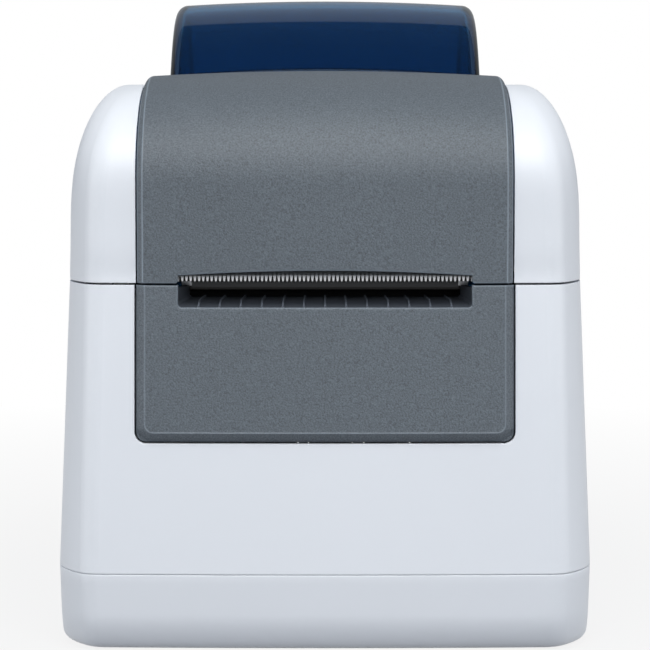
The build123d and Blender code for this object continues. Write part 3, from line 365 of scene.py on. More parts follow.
def case_front(x, z):
    """Y of the housing's front face: it leans back as it rises and bows by a square law."""
    return front_foot + front_lean * (z - tray_top) + front_bow * (x / bow_half) ** 2


x = columns_across(strip_half, exit_half, strip_half - rim_width)
foot = round_foot(x, strip_half, panel_low, panel_radius)
head = np.where(np.abs(x) < exit_half - hair, round_foot(x, exit_half, exit_sill, exit_radius),
                panel_top)
near_foot = np.linspace(0, dense_band, 42)[:, None] + 0 * x
above = crowded(0, 1, 40)[:, None] * (head - foot - dense_band) + dense_band
z = foot + np.concatenate([near_foot, above[1:]])
x = x + 0 * z
field_depth = rounded_inside(x, z, strip_half - rim_width, field_low, field_radius)
edge_depth = rounded_inside(x, z, strip_half, panel_low, panel_radius)
exit_depth = -rounded_inside(x, z, exit_half, exit_sill, exit_radius)
top_depth = panel_top - z
fall = (rounding(edge_depth, edge_round) + rounding(exit_depth, exit_round)
        + rounding(top_depth, edge_round))
outwards = np.clip(-field_depth / rim_width, 0, 1)
rise = field_rise * (1 - outwards) + bead_rise * bead(field_depth)
near_low = np.clip((panel_low + foot_band - z) / foot_fade, 0, 1)
sunk_edge = (rim_sink + foot_sink * near_low) * outwards
y = case_front(x, z) - rise + fall + sunk_edge
back = case_front(x, z) + skin
# Painted highlight on the field's bead and along the exit's and the top's edges.
highlight_share = 0.6 * bead(field_depth) + 0.6 * edge_highlight(np.minimum(exit_depth, top_depth))
panel = shell("panel_skin", np.stack([x, y, z], -1), np.stack([x, back, z], -1), grey, highlight_share)
dress(panel, "grey_cover", "base", "front_panel")


# Chute of the label exit: moulded in one with the panel, it slopes up to the print line
# between two cheeks, and thirteen low ribs carry the label.
rib_count = 13
rib_pitch = 6.35 * mm
rib_x = np.array([-0.5, -0.42, -0.2, 0.0, 0.2, 0.42, 0.5]) * 0.8 * mm
rib_z = np.array([0, 0.75, 0.97, 1.0, 0.97, 0.75, 0]) * 0.6 * mm
rib_highlight = [0, 0, 1, 1, 1, 0, 0]
chute_lip = 0.45 * mm                       # how far the chute starts behind the field's face
chute_front = case_front(0.0, exit_sill) - field_rise + chute_lip
chute_rear = chute_front + 14.0 * mm
chute_slope = math.tan(math.radians(9.0))
chute_thick = 2 * mm
face_gap = 0.5 * mm
cheek, cheek_step = 1.8 * mm, 0.8 * mm      # its width, and the bevel at its foot
cheek_top = panel_top - 0.8 * mm
taper, taper_from = 2.9 * mm, 0.3
rib_reach = exit_half - 1.2 * mm


def closed_rows(rows, columns, flipped=False, first=0):
    """Faces of a body through closed rows of points: quads between rows and a cap at each end."""
    index = np.arange(rows * columns).reshape(rows, columns) + first
    turned = np.roll(index, -1, axis=1)
    sides = np.stack([index[:-1], turned[:-1], turned[1:], index[1:]], -1).reshape(-1, 4)
    faces = sides.tolist() + [index[0][::-1].tolist(), index[-1].tolist()]
    return [face[::-1] for face in faces] if flipped else faces


rib_middles = (np.arange(rib_count) - (rib_count - 1) / 2) * rib_pitch
floor_x = (rib_middles[:, None] + rib_x).ravel()
floor_z = np.tile(rib_z, rib_count)
station = np.linspace(0, 1, 12)[:, None]
deep = chute_front + (chute_rear - chute_front) * station
low = exit_sill + chute_slope * (deep - chute_front)
top = cheek_top + 0 * station
width = exit_half - taper * np.clip((station - taper_from) / (1 - taper_from), 0, 1)
cheek_x = np.concatenate([width + cheek, width + cheek, width, width, width - cheek_step], axis=1)
cheek_z = np.concatenate([low - chute_thick, top, top, low + cheek_step, low], axis=1)
floor_x = np.minimum(1, width / rib_reach) * floor_x
x = np.concatenate([-cheek_x, floor_x, cheek_x[:, ::-1]], axis=1)
z = np.concatenate([cheek_z, low + floor_z, cheek_z[:, ::-1]], axis=1)
y = np.maximum(deep, case_front(x, z) - field_rise + face_gap)
# Painted highlight: the ribs' tops are painted lighter.
highlight_share = np.zeros(x.shape)
highlight_share[:, cheek_x.shape[1]:-cheek_x.shape[1]] = np.tile(rib_highlight, rib_count)
# Painted shade: the chute is coloured darker than the grey panel it is moulded in one with.
chute_plastic = moulded("chute_plastic", srgb(62, 67, 75), 0.4, 0.6 * mm, 0.02 * mm, shade=0.06,
                        wear=1.2)
chute = solid("exit_chute", np.stack([x, y, z], -1), closed_rows(*x.shape, flipped=True),
              chute_plastic)
keep_highlight(chute, highlight_share.ravel())
dress(chute, "grey_cover", "base", "front_panel")


# Grey top cover: it lies in the lid between the two pods. A smooth rim runs along each side,
# and the raised field bows out of it over the brow and back to the window.
cover_half = 56.7 * mm
cover_field = 55.1 * mm
lid_front = -104.0 * mm
lid_bottom = 112.0 * mm
lid_top = 171.7 * mm
brow_start = 142.2 * mm
brow_depth = 50.0 * mm
cover_end = -18.4 * mm
crown_rise = 2.7 * mm
crown_bow = 1.6 * mm
field_bow = 0.9 * mm
notch_half = 44.3 * mm
notch_corner = 0.9 * mm
arch_top, arch_drop = 115.9 * mm, 1.5 * mm  # the notch's upper edge falls to its sides
lower_round, end_round = 0.45 * mm, 0.6 * mm
cover_bead = 0.12 * mm
flank_from, flank_wall = 48 * mm, 2.2 * mm  # the inner face draws in from here to the sides


def cover_line(front, top, turn):
    """Side view from the lower edge over the quarter-ellipse brow to the cover's end.

    Below 0 turn is the height under the brow as a share, from 0 to 1 it is the quarter turn of
    the brow, and past 1 the way back along the crown as a share.
    """
    depth = lid_front + brow_depth - front
    angle = np.clip(turn, 0, 1) * math.pi / 2
    height = brow_start + (top - brow_start) * np.sin(angle)
    height = height + np.minimum(turn, 0) * (brow_start - lid_bottom)
    along = front + depth * (1 - np.cos(angle))
    along = along + np.maximum(turn - 1, 0) * (cover_end - lid_front - brow_depth)
    return along, height


x = columns_across(cover_half, notch_half, cover_field)
arch = arch_top - arch_drop * (np.abs(x) / notch_half) ** 2
past = np.clip(notch_half + notch_corner - np.abs(x), 0, notch_corner)
corner = lid_bottom + notch_corner - np.sqrt(notch_corner ** 2 - past ** 2)
edge_z = np.where(np.abs(x) < notch_half - hair, arch, corner)
upright = crowded(0, 1, 26)[:, None] * (brow_start - edge_z) + edge_z
turn = np.concatenate([(upright - brow_start) / (brow_start - lid_bottom),
                       np.linspace(0, 1, 34)[1:, None] + 0 * x,
                       1 + crowded(0, 1, 18)[1:, None] + 0 * x])
x = x + 0 * turn
bow = 1 - (x / cover_field) ** 2
rim_y, rim_z = cover_line(lid_front, lid_top, turn)
field_y, field_z = cover_line(lid_front - field_rise - field_bow * bow,
                              lid_top + crown_rise + crown_bow * bow, turn)
sweep = front_bow * (x / bow_half) ** 2
crown = np.clip(turn, 0, 1)
side_depth = cover_half - np.abs(x)
slope_width = (cover_half - cover_field) * (1 + 0.5 * crown)
raised = np.clip(side_depth / slope_width, 0, 1)
raised = raised + crown * (np.sqrt(1 - (1 - raised) ** 2) - raised)
ridge = bead(cover_field - np.abs(x))
normal_y, normal_z = -np.cos(crown * math.pi / 2), np.sin(crown * math.pi / 2)
low_depth = np.where(turn < 0, rim_z - edge_z, 1.0)
fall = (rounding(side_depth, edge_round) + rounding(low_depth, lower_round)
        + rounding(cover_end - rim_y, end_round))
drop = fall - cover_bead * ridge * (1 - crown)
y = rim_y + sweep + raised * (field_y - rim_y) - drop * normal_y
z = rim_z + raised * (field_z - rim_z) - drop * normal_z
flank = np.clip((np.abs(x) - flank_from) / (cover_half - flank_from), 0, 1)
inner_x = x - np.sign(x) * flank_wall * flank
inner = np.stack([inner_x, y - (skin - drop) * normal_y, z - (skin - drop) * normal_z], -1)
inner[..., 2] = np.maximum(inner[..., 2], edge_z)
# Painted highlight on the field's bead and along the lower and side edges.
highlight_share = ridge + edge_highlight(np.minimum(low_depth, side_depth))
cover = shell("cover_skin", np.stack([x, y, z], -1), inner, grey, highlight_share)


def prisms(name, outlines, low, high):
    """One mesh of upright solids: each outline of XY points runs from its low to its high Z."""
    points, faces, first = [], [], 0
    for line, *levels in zip(outlines, low, high):
        points += [np.column_stack([line, np.full(len(line), level)]) for level in levels]
        faces += closed_rows(2, len(line), first=first)
        first += 2 * len(line)
    return solid(name, np.concatenate(points), faces, white)


def ring_line(x, y, radius, count=40):
    """Points of a circle, anticlockwise."""
    angle = np.linspace(0, 2 * math.pi, count, endpoint=False)
    return np.stack([x + radius * np.cos(angle), y + radius * np.sin(angle)], -1)


def carve(piece, cutter):
    """Takes the cutter's solids out of a piece, for good, and shades what is left."""
    cut = piece.modifiers.new("cut", "BOOLEAN")
    cut.operation = "DIFFERENCE"
    cut.solver = "EXACT"
    cut.object = cutter
    left = piece.evaluated_get(bpy.context.evaluated_depsgraph_get())
    mesh = bpy.data.meshes.new_from_object(left)
    piece.modifiers.clear()
    piece.data = mesh
    smooth(mesh)
    bpy.data.objects.remove(cutter)


button_x, control_y, lamp_x = 38.0 * mm, -34.0 * mm, 26.0 * mm
button_radius, lamp_radius = 5.5 * mm, 1.5 * mm
button_gap, lamp_gap = 0.3 * mm, 0.05 * mm
below_crown, above_crown = 165 * mm, 180 * mm
holes = [ring_line(button_x, control_y, button_radius + button_gap, 64),
         ring_line(lamp_x, control_y, lamp_radius + lamp_gap)]
carve(cover, prisms("control_holes", holes, [below_crown] * 2, [above_crown] * 2))
dress(cover, "grey_cover", "lid", "top_cover")


# Feed button and lamp: a round key with a dished face in the crown, and a clear light guide
# beside it. Both stop just short of the crown's surface.
button_low, button_sink = 169.6 * mm, 0.3 * mm
flange_wide, flange_tall = 1.2 * mm, 1.4 * mm
button_round = 0.6 * mm
dish_radii = np.array([4.2, 3.2, 2.0, 0.8]) * mm
dish_depths = np.array([0.12, 0.3, 0.42, 0.48]) * mm
lamp_low, lamp_sink = 168.9 * mm, 0.2 * mm
lamp_dome, lamp_pole = 0.5 * mm, 0.05 * mm


def revolved(name, profile, x, y, material, steps=64):
    """Solid of revolution about an upright line: each row is a circle of its radius and height."""
    radii, heights = np.array(profile).T[:, :, None]
    angle = np.linspace(0, 2 * math.pi, steps, endpoint=False)
    rows = np.stack([x + radii * np.cos(angle), y + radii * np.sin(angle), heights + 0 * angle], -1)
    return solid(name, rows, closed_rows(*rows.shape[:2]), material)


def crown_height(x):
    """Height of the crown's surface: its level plus a bow that falls with the square of X."""
    return lid_top + crown_rise + crown_bow * (1 - (x / cover_field) ** 2)


quarter = np.radians(np.linspace(0, 90, 7))
button_face = crown_height(button_x) - button_sink
profile = [(button_radius + flange_wide, button_low),
           (button_radius + flange_wide, button_low + flange_tall),
           (button_radius, button_low + flange_tall),
           (button_radius, button_face - button_round)]
profile += zip(button_radius - button_round + button_round * np.cos(quarter[1:]),
               button_face - button_round + button_round * np.sin(quarter[1:]))
profile += zip(dish_radii, button_face - dish_depths)
button = revolved("button", profile, button_x, control_y, grey)
dress(button, "grey_cover", "feed_button", "feed_button")

lamp_plastic, tree, shader, place = surface("lamp_plastic", IOR=1.49, Transmission_Weight=0.5,
                                            Coat_Weight=0.3)
milk = place.noise(900.0)
feed(tree, shader, Base_Color=milk.blend(srgb(196, 214, 200), srgb(226, 236, 228)),
     Roughness=0.2 + 0.15 * milk)
lamp_face = crown_height(lamp_x) - lamp_sink
profile = [(lamp_radius, lamp_low), (lamp_radius, lamp_face - lamp_dome)]
profile += zip(lamp_radius * np.cos(quarter[1:-1]),
               lamp_face - lamp_dome * (1 - np.sin(quarter[1:-1])))
profile += [(lamp_pole, lamp_face)]
lamp = revolved("lamp", profile, lamp_x, control_y, lamp_plastic, 32)
dress(lamp, "lamp_clear", "lid", "lamp_lens")


# Roll window: a dome of see-through dark blue plastic, moulded in one thickness with rounded
# ends. It is open below, and closes the lid's opening between the two pods.
roll_y = 34.7 * mm
roll_z = 130.8 * mm
dome_radius = 70.0 * mm
dome_half = 51.5 * mm
dome_wall = 2.2 * mm
dome_bow = 1.7 * mm
dome_rear_z = 142.2 * mm
dome_front_y = cover_end + 0.4 * mm
skirt_z = 167.2 * mm
skirt_rear = 60.0 * mm
outer_end, inner_end = 3.6 * mm, 2.0 * mm   # rounding of the dome's ends
end_shade_from, end_shade_to = 2.8 * mm, 1.2 * mm     # from its ends, where painted shade turns the plastic nearly black
foot_shade_from, foot_shade_to = 0.5 * mm, 0.2 * mm     # and painted shade from its front edge
wall_rows = 5


def dome_surface(half, radius, end_radius):
    """Points of the dome as rows across X, its two upright end walls at their ends.

    The dome is an arc about the roll's axis for each X, from the front edge over the crest to
    the rear edge. The arc's radius loses the bow times the square of the share of the half
    width, and a quarter round at the ends. Each end wall goes straight down from the last arc
    to the skirt line.
    """
    quarter = np.linspace(0, math.pi / 2, 9)[1:]
    span = np.linspace(0, half - end_radius, 25)
    x = np.concatenate([span, half - end_radius + end_radius * np.sin(quarter)])
    loss = np.concatenate([0 * span, end_radius * (1 - np.cos(quarter))])
    x = np.concatenate([-x[:0:-1], x])
    loss = np.concatenate([loss[:0:-1], loss])
    reach = radius - dome_bow * (x / half) ** 2 - loss
    start = np.arcsin((dome_front_y - roll_y) / reach)
    end = np.arccos((dome_rear_z - roll_z) / reach)
    t = np.linspace(0, 1, 72)[:, None]
    angle = start + (end - start) * t
    arcs = np.stack([x + 0 * t, roll_y + reach * np.sin(angle), roll_z + reach * np.cos(angle)], -1)
    ends = [end_wall(arcs[:, 0])[:, ::-1], arcs, end_wall(arcs[:, -1])]
    return np.concatenate(ends, axis=1)


def end_wall(arc):
    """Points under one arc, from it straight down in even steps to the skirt line.

    That line is level as far back as the skirt's rear, and slopes from there to the arc's end.
    """
    y, z = arc[:, 1], arc[:, 2]
    share = np.clip((y - skirt_rear) / (y[-1] - skirt_rear), 0, 1)
    foot = np.minimum(skirt_z + (dome_rear_z - skirt_z) * share, z)
    wall = np.repeat(arc[:, None], wall_rows, axis=1)
    wall[..., 2] = z[:, None] + (foot - z)[:, None] * np.linspace(0, 1, wall_rows + 1)[1:]
    return wall


blue_glass, tree, shader, place = surface("blue_window", IOR=1.5, Transmission_Weight=1.0)
haze = place.noise(60.0, 4.0)
across, back, _ = place.parts()
# Painted shade: the blue turns nearly black toward the dome's ends and along its front edge.
end_shade = across.math("ABSOLUTE").ramp(dome_half - end_shade_from, dome_half - end_shade_to)
foot_shade = back.ramp(dome_front_y + foot_shade_from, dome_front_y + foot_shade_to)
painted_shade = end_shade.math("MAXIMUM", foot_shade)
feed(tree, shader, Base_Color=painted_shade.blend(srgb(46, 98, 140), srgb(34, 36, 52)),
     Roughness=0.02 + 0.02 * haze)
outer = dome_surface(dome_half, dome_radius, outer_end)
inner = dome_surface(dome_half - dome_wall, dome_radius - dome_wall, inner_end)
window = shell("dome", outer, inner, blue_glass)
dress(window, "blue_window", "lid", "roll_window")


# Bottom tray: a shallow white moulding under the whole body. Its foot curves under, more
# gently at the front, and its floor has vents, screw wells and a recess for each rubber foot.
body_half = 82.1 * mm
body_rear = 106.5 * mm
soft_edge = 10.4 * mm
corner_depth = 25.0 * mm
crease_radius = 8.0 * mm
rear_radius = 14.0 * mm
side_taper = 2.0 * mm
tray_tuck = 1.3 * mm
tray_low = 0.3 * mm
tray_rim = 24.4 * mm
floor_low = 1.2 * mm
floor_high = 3.7 * mm
tray_wall = 2.3 * mm
side_tuck = 0.6 * mm
foot_tall, foot_deep = 3.0 * mm, 1.8 * mm
chin_tall, chin_deep = 12.0 * mm, 8.0 * mm
rim_round = 0.35 * mm
sole_step = 0.1 * mm
floor_side, floor_nose = [20 * mm, 9 * mm], [24 * mm, 16 * mm]
sole_side = np.array([9.5, 9.8, 10.2]) * mm
sole_nose = np.array([14.8, 15.1, 15.5]) * mm
foot_x, foot_ys, foot_well = 62.1 * mm, (-88 * mm, 82.5 * mm), 7.1 * mm
screw_x, screw_ys, screw_well = 53.1 * mm, (-79 * mm, 73.5 * mm), 3.5 * mm
foot_well_top = 2.2 * mm
vent_count, vent_pitch, vent_half, vent_length = 9, 11 * mm, 1.5 * mm, 30 * mm
spare = 1 * mm                              # how far a cutter goes past what it cuts


def body_outline(half, front, rear):
    """Plan of the body for rows of half width, front and rear: a closed row of points for each.

    The front is a parabola of the bow's depth. A big arc, upright at the side, meets it at the
    soft edge, and a fillet joins them: its centre lies where both lines, moved in by its
    radius, cross. The sides taper to quarter-round rear corners.
    """
    half, front, rear = (np.array(v, dtype=float)[:, None] for v in (half, front, rear))
    edge = half - soft_edge
    start = front + corner_depth
    rise = corner_depth - front_bow
    big = (soft_edge ** 2 + rise ** 2) / (2 * soft_edge)
    centre = half - big
    fillet_x = edge
    for _ in range(30):
        fillet_y = front + front_bow * (fillet_x / edge) ** 2 + crease_radius
        fillet_x = centre + np.sqrt((big - crease_radius) ** 2 - (start - fillet_y) ** 2)
    slope = np.arctan(2 * front_bow * fillet_x / edge ** 2)
    first = slope - math.pi / 2
    last = np.arctan2(fillet_y - start, fillet_x - centre)
    t = np.linspace(0, 1, 15)
    angle = first + (last - first) * t
    bow_x = (fillet_x + crease_radius * np.cos(first)) * np.linspace(0, 1, 24)[:-1]
    side_y = rear - rear_radius
    side_x = half - side_taper * (side_y - start) / (rear - start)
    turn = last * (1 - t[1:])
    quarter = np.linspace(0, math.pi / 2, 13)
    along = np.linspace(0, 1, 12)[1:]
    x = np.concatenate([bow_x, fillet_x + crease_radius * np.cos(angle),
                        centre + big * np.cos(turn), half + (side_x - half) * along,
                        side_x - rear_radius + rear_radius * np.cos(quarter[1:]),
                        (side_x - rear_radius) * (1 - np.linspace(0, 1, 10)[1:])], axis=1)
    y = np.concatenate([front + front_bow * (bow_x / edge) ** 2,
                        fillet_y + crease_radius * np.sin(angle), start + big * np.sin(turn),
                        start + (side_y - start) * along,
                        side_y + rear_radius * np.sin(quarter[1:]),
                        rear + np.zeros((1, 9))], axis=1)
    x = np.concatenate([x, -x[:, -2:0:-1]], axis=1)
    return x, np.concatenate([y, y[:, -2:0:-1]], axis=1)


def under_curve(height, tall, deep):
    """Set-back of a quarter ellipse, so tall and so deep, at a height above its foot."""
    return deep * (1 - np.sqrt(1 - (1 - np.minimum(height / tall, 1)) ** 2))


def set_back(floor_rows, tuck, tall, deep, sole_rows):
    """Every row's set-back from the outline: floor, wall, rounded rim, side, foot and sole."""
    return np.concatenate([floor_rows, [tray_wall, rim_round],
                           rim_round * (1 - np.cos(rim_turn)),
                           tuck * sunk + under_curve(lift, tall, deep), sole_rows])


lift = chin_tall * (1 - np.cos(np.radians(np.linspace(0, 90, 25))))
upper = np.linspace(chin_tall, tray_rim - tray_low - rim_round, 6)[1:]
lift = np.concatenate([lift, upper])[::-1]
rim_turn = np.radians([60, 30])
sunk = 1 - lift / (tray_rim - tray_low)
level = np.concatenate([[floor_high] * 2, [tray_rim] * 2,
                        tray_rim - rim_round + rim_round * np.sin(rim_turn),
                        tray_low + lift, [tray_low, tray_low + sole_step, floor_low]])
side = set_back(floor_side, side_tuck, foot_tall, foot_deep, sole_side)
nose = set_back(floor_nose, tray_tuck, chin_tall, chin_deep, sole_nose)
x, y = body_outline(body_half - side, front_foot + nose, body_rear - side)
points = np.stack([x, y, level[:, None] + 0 * x], -1)
tray = solid("tray", points, closed_rows(*x.shape, flipped=True), white)
wells = [ring_line(sign * foot_x, y, foot_well, 64) for sign in (-1, 1) for y in foot_ys]
wells += [ring_line(sign * screw_x, y, screw_well) for sign in (-1, 1) for y in screw_ys]
bend = np.radians(np.linspace(-90, 90, 9))
vent_end = np.stack([vent_length - vent_half + vent_half * np.cos(bend), vent_half * np.sin(bend)],
                    -1)
vent = np.concatenate([vent_end, vent_end[::-1] * (-1, 1)])
wells += [vent + (0, (k - (vent_count - 1) / 2) * vent_pitch) for k in range(vent_count)]
tops = [foot_well_top] * 4 + [floor_high + spare] * (len(wells) - 4)
carve(tray, prisms("tray_wells", wells, [-spare] * len(wells), tops))
dress(tray, "white_shell", "base", "bottom_tray")


# Tear bar: a thin strip of stainless steel with 70 teeth punched along its lower edge. It leans
# back as it rises, in front of its dark holder in the lid.
tooth_pitch = 1.27 * mm
tooth_count = 70
tooth_steps = 12                            # points to a tooth
tooth_tip = 112.15 * mm
tooth_root = 114.0 * mm
tip_flat, flank = 0.3, 0.48                 # shares of half a pitch
tip_bevel, bevel_share = 0.25 * mm, 0.12
root_band = 0.3 * mm
strip_levels = np.array([116.0, 118.0, 119.6])[:, None] * mm
strip_front = -100.4 * mm
strip_thick = 0.6 * mm
strip_lean = 0.42


def bare_metal(name, colour, roughness, line, stretch, depth, reach=0.12, **constants):
    """Bare metal with lines of this width, drawn out by the stretch, in its colour and gloss."""
    material, tree, shader, place = surface(name, Metallic=1.0, **constants)
    lines = place.stretched(*stretch).noise(1 / line, 2.0, 0.7)
    polish = place.noise(70.0)
    feed(tree, shader, Base_Color=lines.blend(toned(colour, -reach), toned(colour, reach)),
         Normal=lines.bump(depth), Roughness=roughness - 0.08 + 0.1 * polish + 0.06 * lines)
    return material


stainless = bare_metal("stainless_strip", srgb(236, 236, 238), 0.3, 0.4 * mm, (0.05, 1, 1),
                       0.004 * mm)
half_steps = tooth_steps // 2
step = np.arange(-tooth_count * half_steps, tooth_count * half_steps + 1)
x = step / tooth_steps * tooth_pitch
phase = np.abs((np.arange(x.size) % tooth_steps) / half_steps - 1)
climb = np.clip((1 - phase - tip_flat) / flank, 0, 1)
climb = climb * climb * (3 - 2 * climb)
tip_line = tooth_tip + (tooth_root - tooth_tip) * climb
share = np.array([0.0, bevel_share, 0.5, 1.0])[:, None]
z = np.concatenate([tip_line + share * (tooth_root + root_band - tip_line), strip_levels + 0 * x])
x = x + 0 * z
lean = strip_lean * np.maximum(z - tooth_root, 0)
y = strip_front + lean
y[:len(share)] += tip_bevel * np.clip(1 - share / bevel_share, 0, 1)
outer = np.stack([x, y, z], -1)
inner = np.stack([x, strip_front + strip_thick + lean, z], -1)
bar = shell("toothed_bar", outer[:, ::-1], inner[:, ::-1], stainless)
dress(bar, "stainless", "lid", "tear_bar")


# Dark mouldings: the frame that closes the lid below, the bar's holder, the rocker and its
# bezel, the mains inlet, the paper sensor, and the roll's guides and hubs.
frame_black = moulded("frame_black", srgb(24, 25, 28), 0.6, 0.7 * mm, 0.05 * mm, shade=0.3,
                      mottle=0.6)
nylon_black = moulded("nylon_black", srgb(24, 24, 27), 0.38, 0.4 * mm, 0.02 * mm, shade=0.25,
                      mottle=0.5)
guide_black = moulded("guide_black", srgb(44, 47, 52), 0.45, 0.6 * mm, 0.04 * mm, shade=0.25,
                      mottle=0.6)
finish_nodes(frame_black, "lid_frame", "tear_bar_holder")
finish_nodes(nylon_black, "switch_bezel", "power_rocker", "power_inlet", "mark_sensor")
finish_nodes(guide_black, "left_guide", "right_guide", "left_hub", "right_hub")
finish_nodes(grey, "right_latch", "left_latch")


# Media bay: a dark grey moulding that is fixed inside the housing, with a trough for the roll
# and a deck that leads the labels to the print line.
bay_grey = moulded("bay_plastic", srgb(70, 75, 82), 0.5, 0.8 * mm, 0.08 * mm, shade=0.3,
                   mottle=0.6)
finish_nodes(bay_grey, "media_bay")


# Rubber: the platen's roller is moulded on its shaft and ground round, which leaves it dull.
# The feet are softer mouldings, set into recesses of the tray.
ground_rubber = moulded("ground_rubber", srgb(38, 38, 40), 0.7, 0.25 * mm, 0.03 * mm, shade=0.3,
                        mottle=0.8)
foot_rubber = moulded("foot_rubber", srgb(28, 28, 29), 0.85, 0.5 * mm, 0.05 * mm, shade=0.3,
                      mottle=0.6)
finish_nodes(ground_rubber, "platen_roller")
finish_nodes(foot_rubber, "rubber_feet")


# Zinc-plated steel with its spangle: the two side plates and the print head's bracket are
# punched from sheet, and the screws and the rack's pin are plated like them.
zinc, tree, shader, place = surface("zinc_plate", Metallic=1.0)
spangle = place.add("TexVoronoi", (), {"Vector": place, "Scale": 260.0},
                    out="Color").parts()[0]
fine = place.noise(1400.0)
feed(tree, shader, Base_Color=spangle.blend(srgb(164, 168, 176), srgb(196, 199, 204)),
     Roughness=0.3 + 0.14 * spangle, Normal=fine.bump(0.004 * mm))
finish_nodes(zinc, "drive_side_plate", "plain_side_plate", "head_bracket", "case_screws",
             "board_screws", "pinion_pin")


# Ground steel: the pins of the hinge, the idler and the head, the platen's shaft, the sensor's
# rail and the motor's pinion. The shaft turns in two bushings of porous bronze.
ground_steel = bare_metal("ground_steel", srgb(206, 207, 210), 0.24, 0.15 * mm, (1, 0.1, 0.1),
                          0.003 * mm)
bronze = bare_metal("sintered_bronze", srgb(176, 134, 84), 0.42, 0.3 * mm, (1, 1, 1), 0.02 * mm,
                    0.3)
finish_nodes(ground_steel, "hinge_pins", "idler_pin", "platen_shaft", "sensor_rail",
             "head_pivot_pin", "motor_pinion")
finish_nodes(bronze, "platen_bushings")


# Head springs: two coils of round steel wire that press the print head down from its bracket.
spring_x, spring_y = 27.0 * mm, -82.0 * mm
coil_radius, wire_radius, coil_turns = 3.0 * mm, 0.5 * mm, 3
spring_low, spring_high = (corner[2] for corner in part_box("head_springs"))


def coils(name, middles, low, high, material):
    """Tubes along helices: a circle set square to each helix's tangent, out along its radius."""
    t = np.linspace(0, 1, coil_turns * 24 + 1)[:, None]
    turn = 2 * math.pi * coil_turns * t
    around = np.linspace(0, 2 * math.pi, 10, endpoint=False)[:, None]
    outwards = np.stack([np.cos(turn), np.sin(turn), 0 * turn], -1)
    rise = (high - low) / (2 * math.pi * coil_turns)
    tangent = np.stack([-coil_radius * np.sin(turn), coil_radius * np.cos(turn), rise + 0 * t], -1)
    upwards = np.cross(tangent / np.hypot(coil_radius, rise), outwards)
    ring = wire_radius * (np.cos(around) * outwards + np.sin(around) * upwards)
    tube = coil_radius * outwards + ring
    points, faces = [], []
    for k, x in enumerate(middles):
        axis = np.stack([x + 0 * t, spring_y + 0 * t, low + (high - low) * t], -1)
        points.append(tube + axis)
        faces += closed_rows(*tube.shape[:2], first=k * tube.shape[0] * tube.shape[1])
    return solid(name, points, faces, material)


springs = coils("coil_springs", (-spring_x, spring_x), spring_low + wire_radius,
                spring_high - wire_radius, ground_steel)
dress(springs, "bright_pin", "lid", "head_springs")
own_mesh(springs)


# Print head: a ceramic strip, which holds the line of heaters, bonded to a sink of drawn
# aluminium. The ceramic is coloured nearly black as painted shade, for the dark slot it lies in.
shaded_ceramic = moulded("glazed_ceramic", srgb(30, 26, 24), 0.45, 0.5 * mm, 0.004 * mm, shade=0.2)
alloy = bare_metal("drawn_alloy", srgb(200, 202, 206), 0.36, 0.35 * mm, (0.04, 1, 1), 0.008 * mm)
finish_nodes(shaded_ceramic, "head_ceramic")
finish_nodes(alloy, "head_sink")


# Gears: the platen's gear, the idler and the pinion of the roll's guides are moulded in natural
# acetal, which is off-white and waxy.
acetal = moulded("acetal", srgb(228, 224, 208), 0.36, 0.6 * mm, 0.006 * mm, shade=0.05, mottle=0.3,
                 Subsurface_Weight=0.15, Subsurface_Scale=0.002)
finish_nodes(acetal, "platen_gear", "idler_gear", "guide_pinion")


# Stepping motor: a bare stack of steel laminations between two end caps in black lacquer, fixed
# to the mechanism's side plate.
stack_from, stack_to = -50.0 * mm, -34.0 * mm
stack_edge = 0.1 * mm
lamination = 0.5 * mm
motor_skin, tree, shader, place = surface("motor_skin")
along = place.parts()[0]
stack = (along.ramp(stack_from - stack_edge, stack_from)
         * (1 - along.ramp(stack_to, stack_to + stack_edge)))
sheet_line = (along / lamination).math("FRACT").math("PINGPONG", 0.5) * 2
speckle = place.noise(900.0, 3.0)
lacquer = speckle.blend(srgb(18, 18, 20), srgb(38, 38, 41))
bare = sheet_line.blend(srgb(70, 68, 66), srgb(150, 148, 146))
feed(tree, shader, Base_Color=stack.blend(lacquer, bare), Metallic=stack * 0.9,
     Roughness=0.34 + 0.12 * speckle, Normal=(sheet_line * stack + 0.2 * speckle).bump(0.05 * mm))
finish_nodes(motor_skin, "stepping_motor")


# Circuit boards: the main board in the base and the small one under the lid's controls, in
# glass and resin. Green resist lies over bundles of copper tracks that run along or across.
track = 1.5 * mm
board_green, tree, shader, place = surface("board_resist", Coat_Weight=0.3)
bundles = place.add("TexVoronoi", {"distance": "CHEBYCHEV"}, {"Vector": place, "Scale": 85.0},
                    out="Color")
pick = bundles.parts()[0].ramp(0.49, 0.51)
across_x, across_y, _ = place.parts()
lane_x = (across_x / track).math("FRACT").ramp(0.55, 0.62)
lane_y = (across_y / track).math("FRACT").ramp(0.55, 0.62)
copper = pick * lane_x + (1 - pick) * lane_y
weave = place.noise(1200.0)
feed(tree, shader, Base_Color=copper.blend(srgb(14, 66, 40), srgb(34, 104, 62)),
     Roughness=0.34 + 0.12 * weave, Normal=(copper + 0.3 * weave).bump(0.03 * mm))
finish_nodes(board_green, "circuit_board", "control_board")


# On the boards: chips and the button's switch are cased in black epoxy, and the capacitors are
# aluminium cans in a dark sleeve with a bare end.
epoxy = moulded("chip_epoxy", srgb(34, 34, 36), 0.55, 0.2 * mm, 0.02 * mm, shade=0.3, mottle=0.8)
finish_nodes(epoxy, "board_chips", "control_switch")
sleeve, tree, shader, place = surface("capacitor_can")
facing = place.add("NewGeometry", out="Normal").parts()[2]
end = facing.ramp(0.9, 0.95)
score = place.noise(700.0)
feed(tree, shader, Base_Color=end.blend(srgb(30, 36, 58), srgb(200, 202, 206)), Metallic=end,
     Roughness=0.3 + 0.15 * score, Normal=score.bump(0.01 * mm))
finish_nodes(sleeve, "board_capacitors")


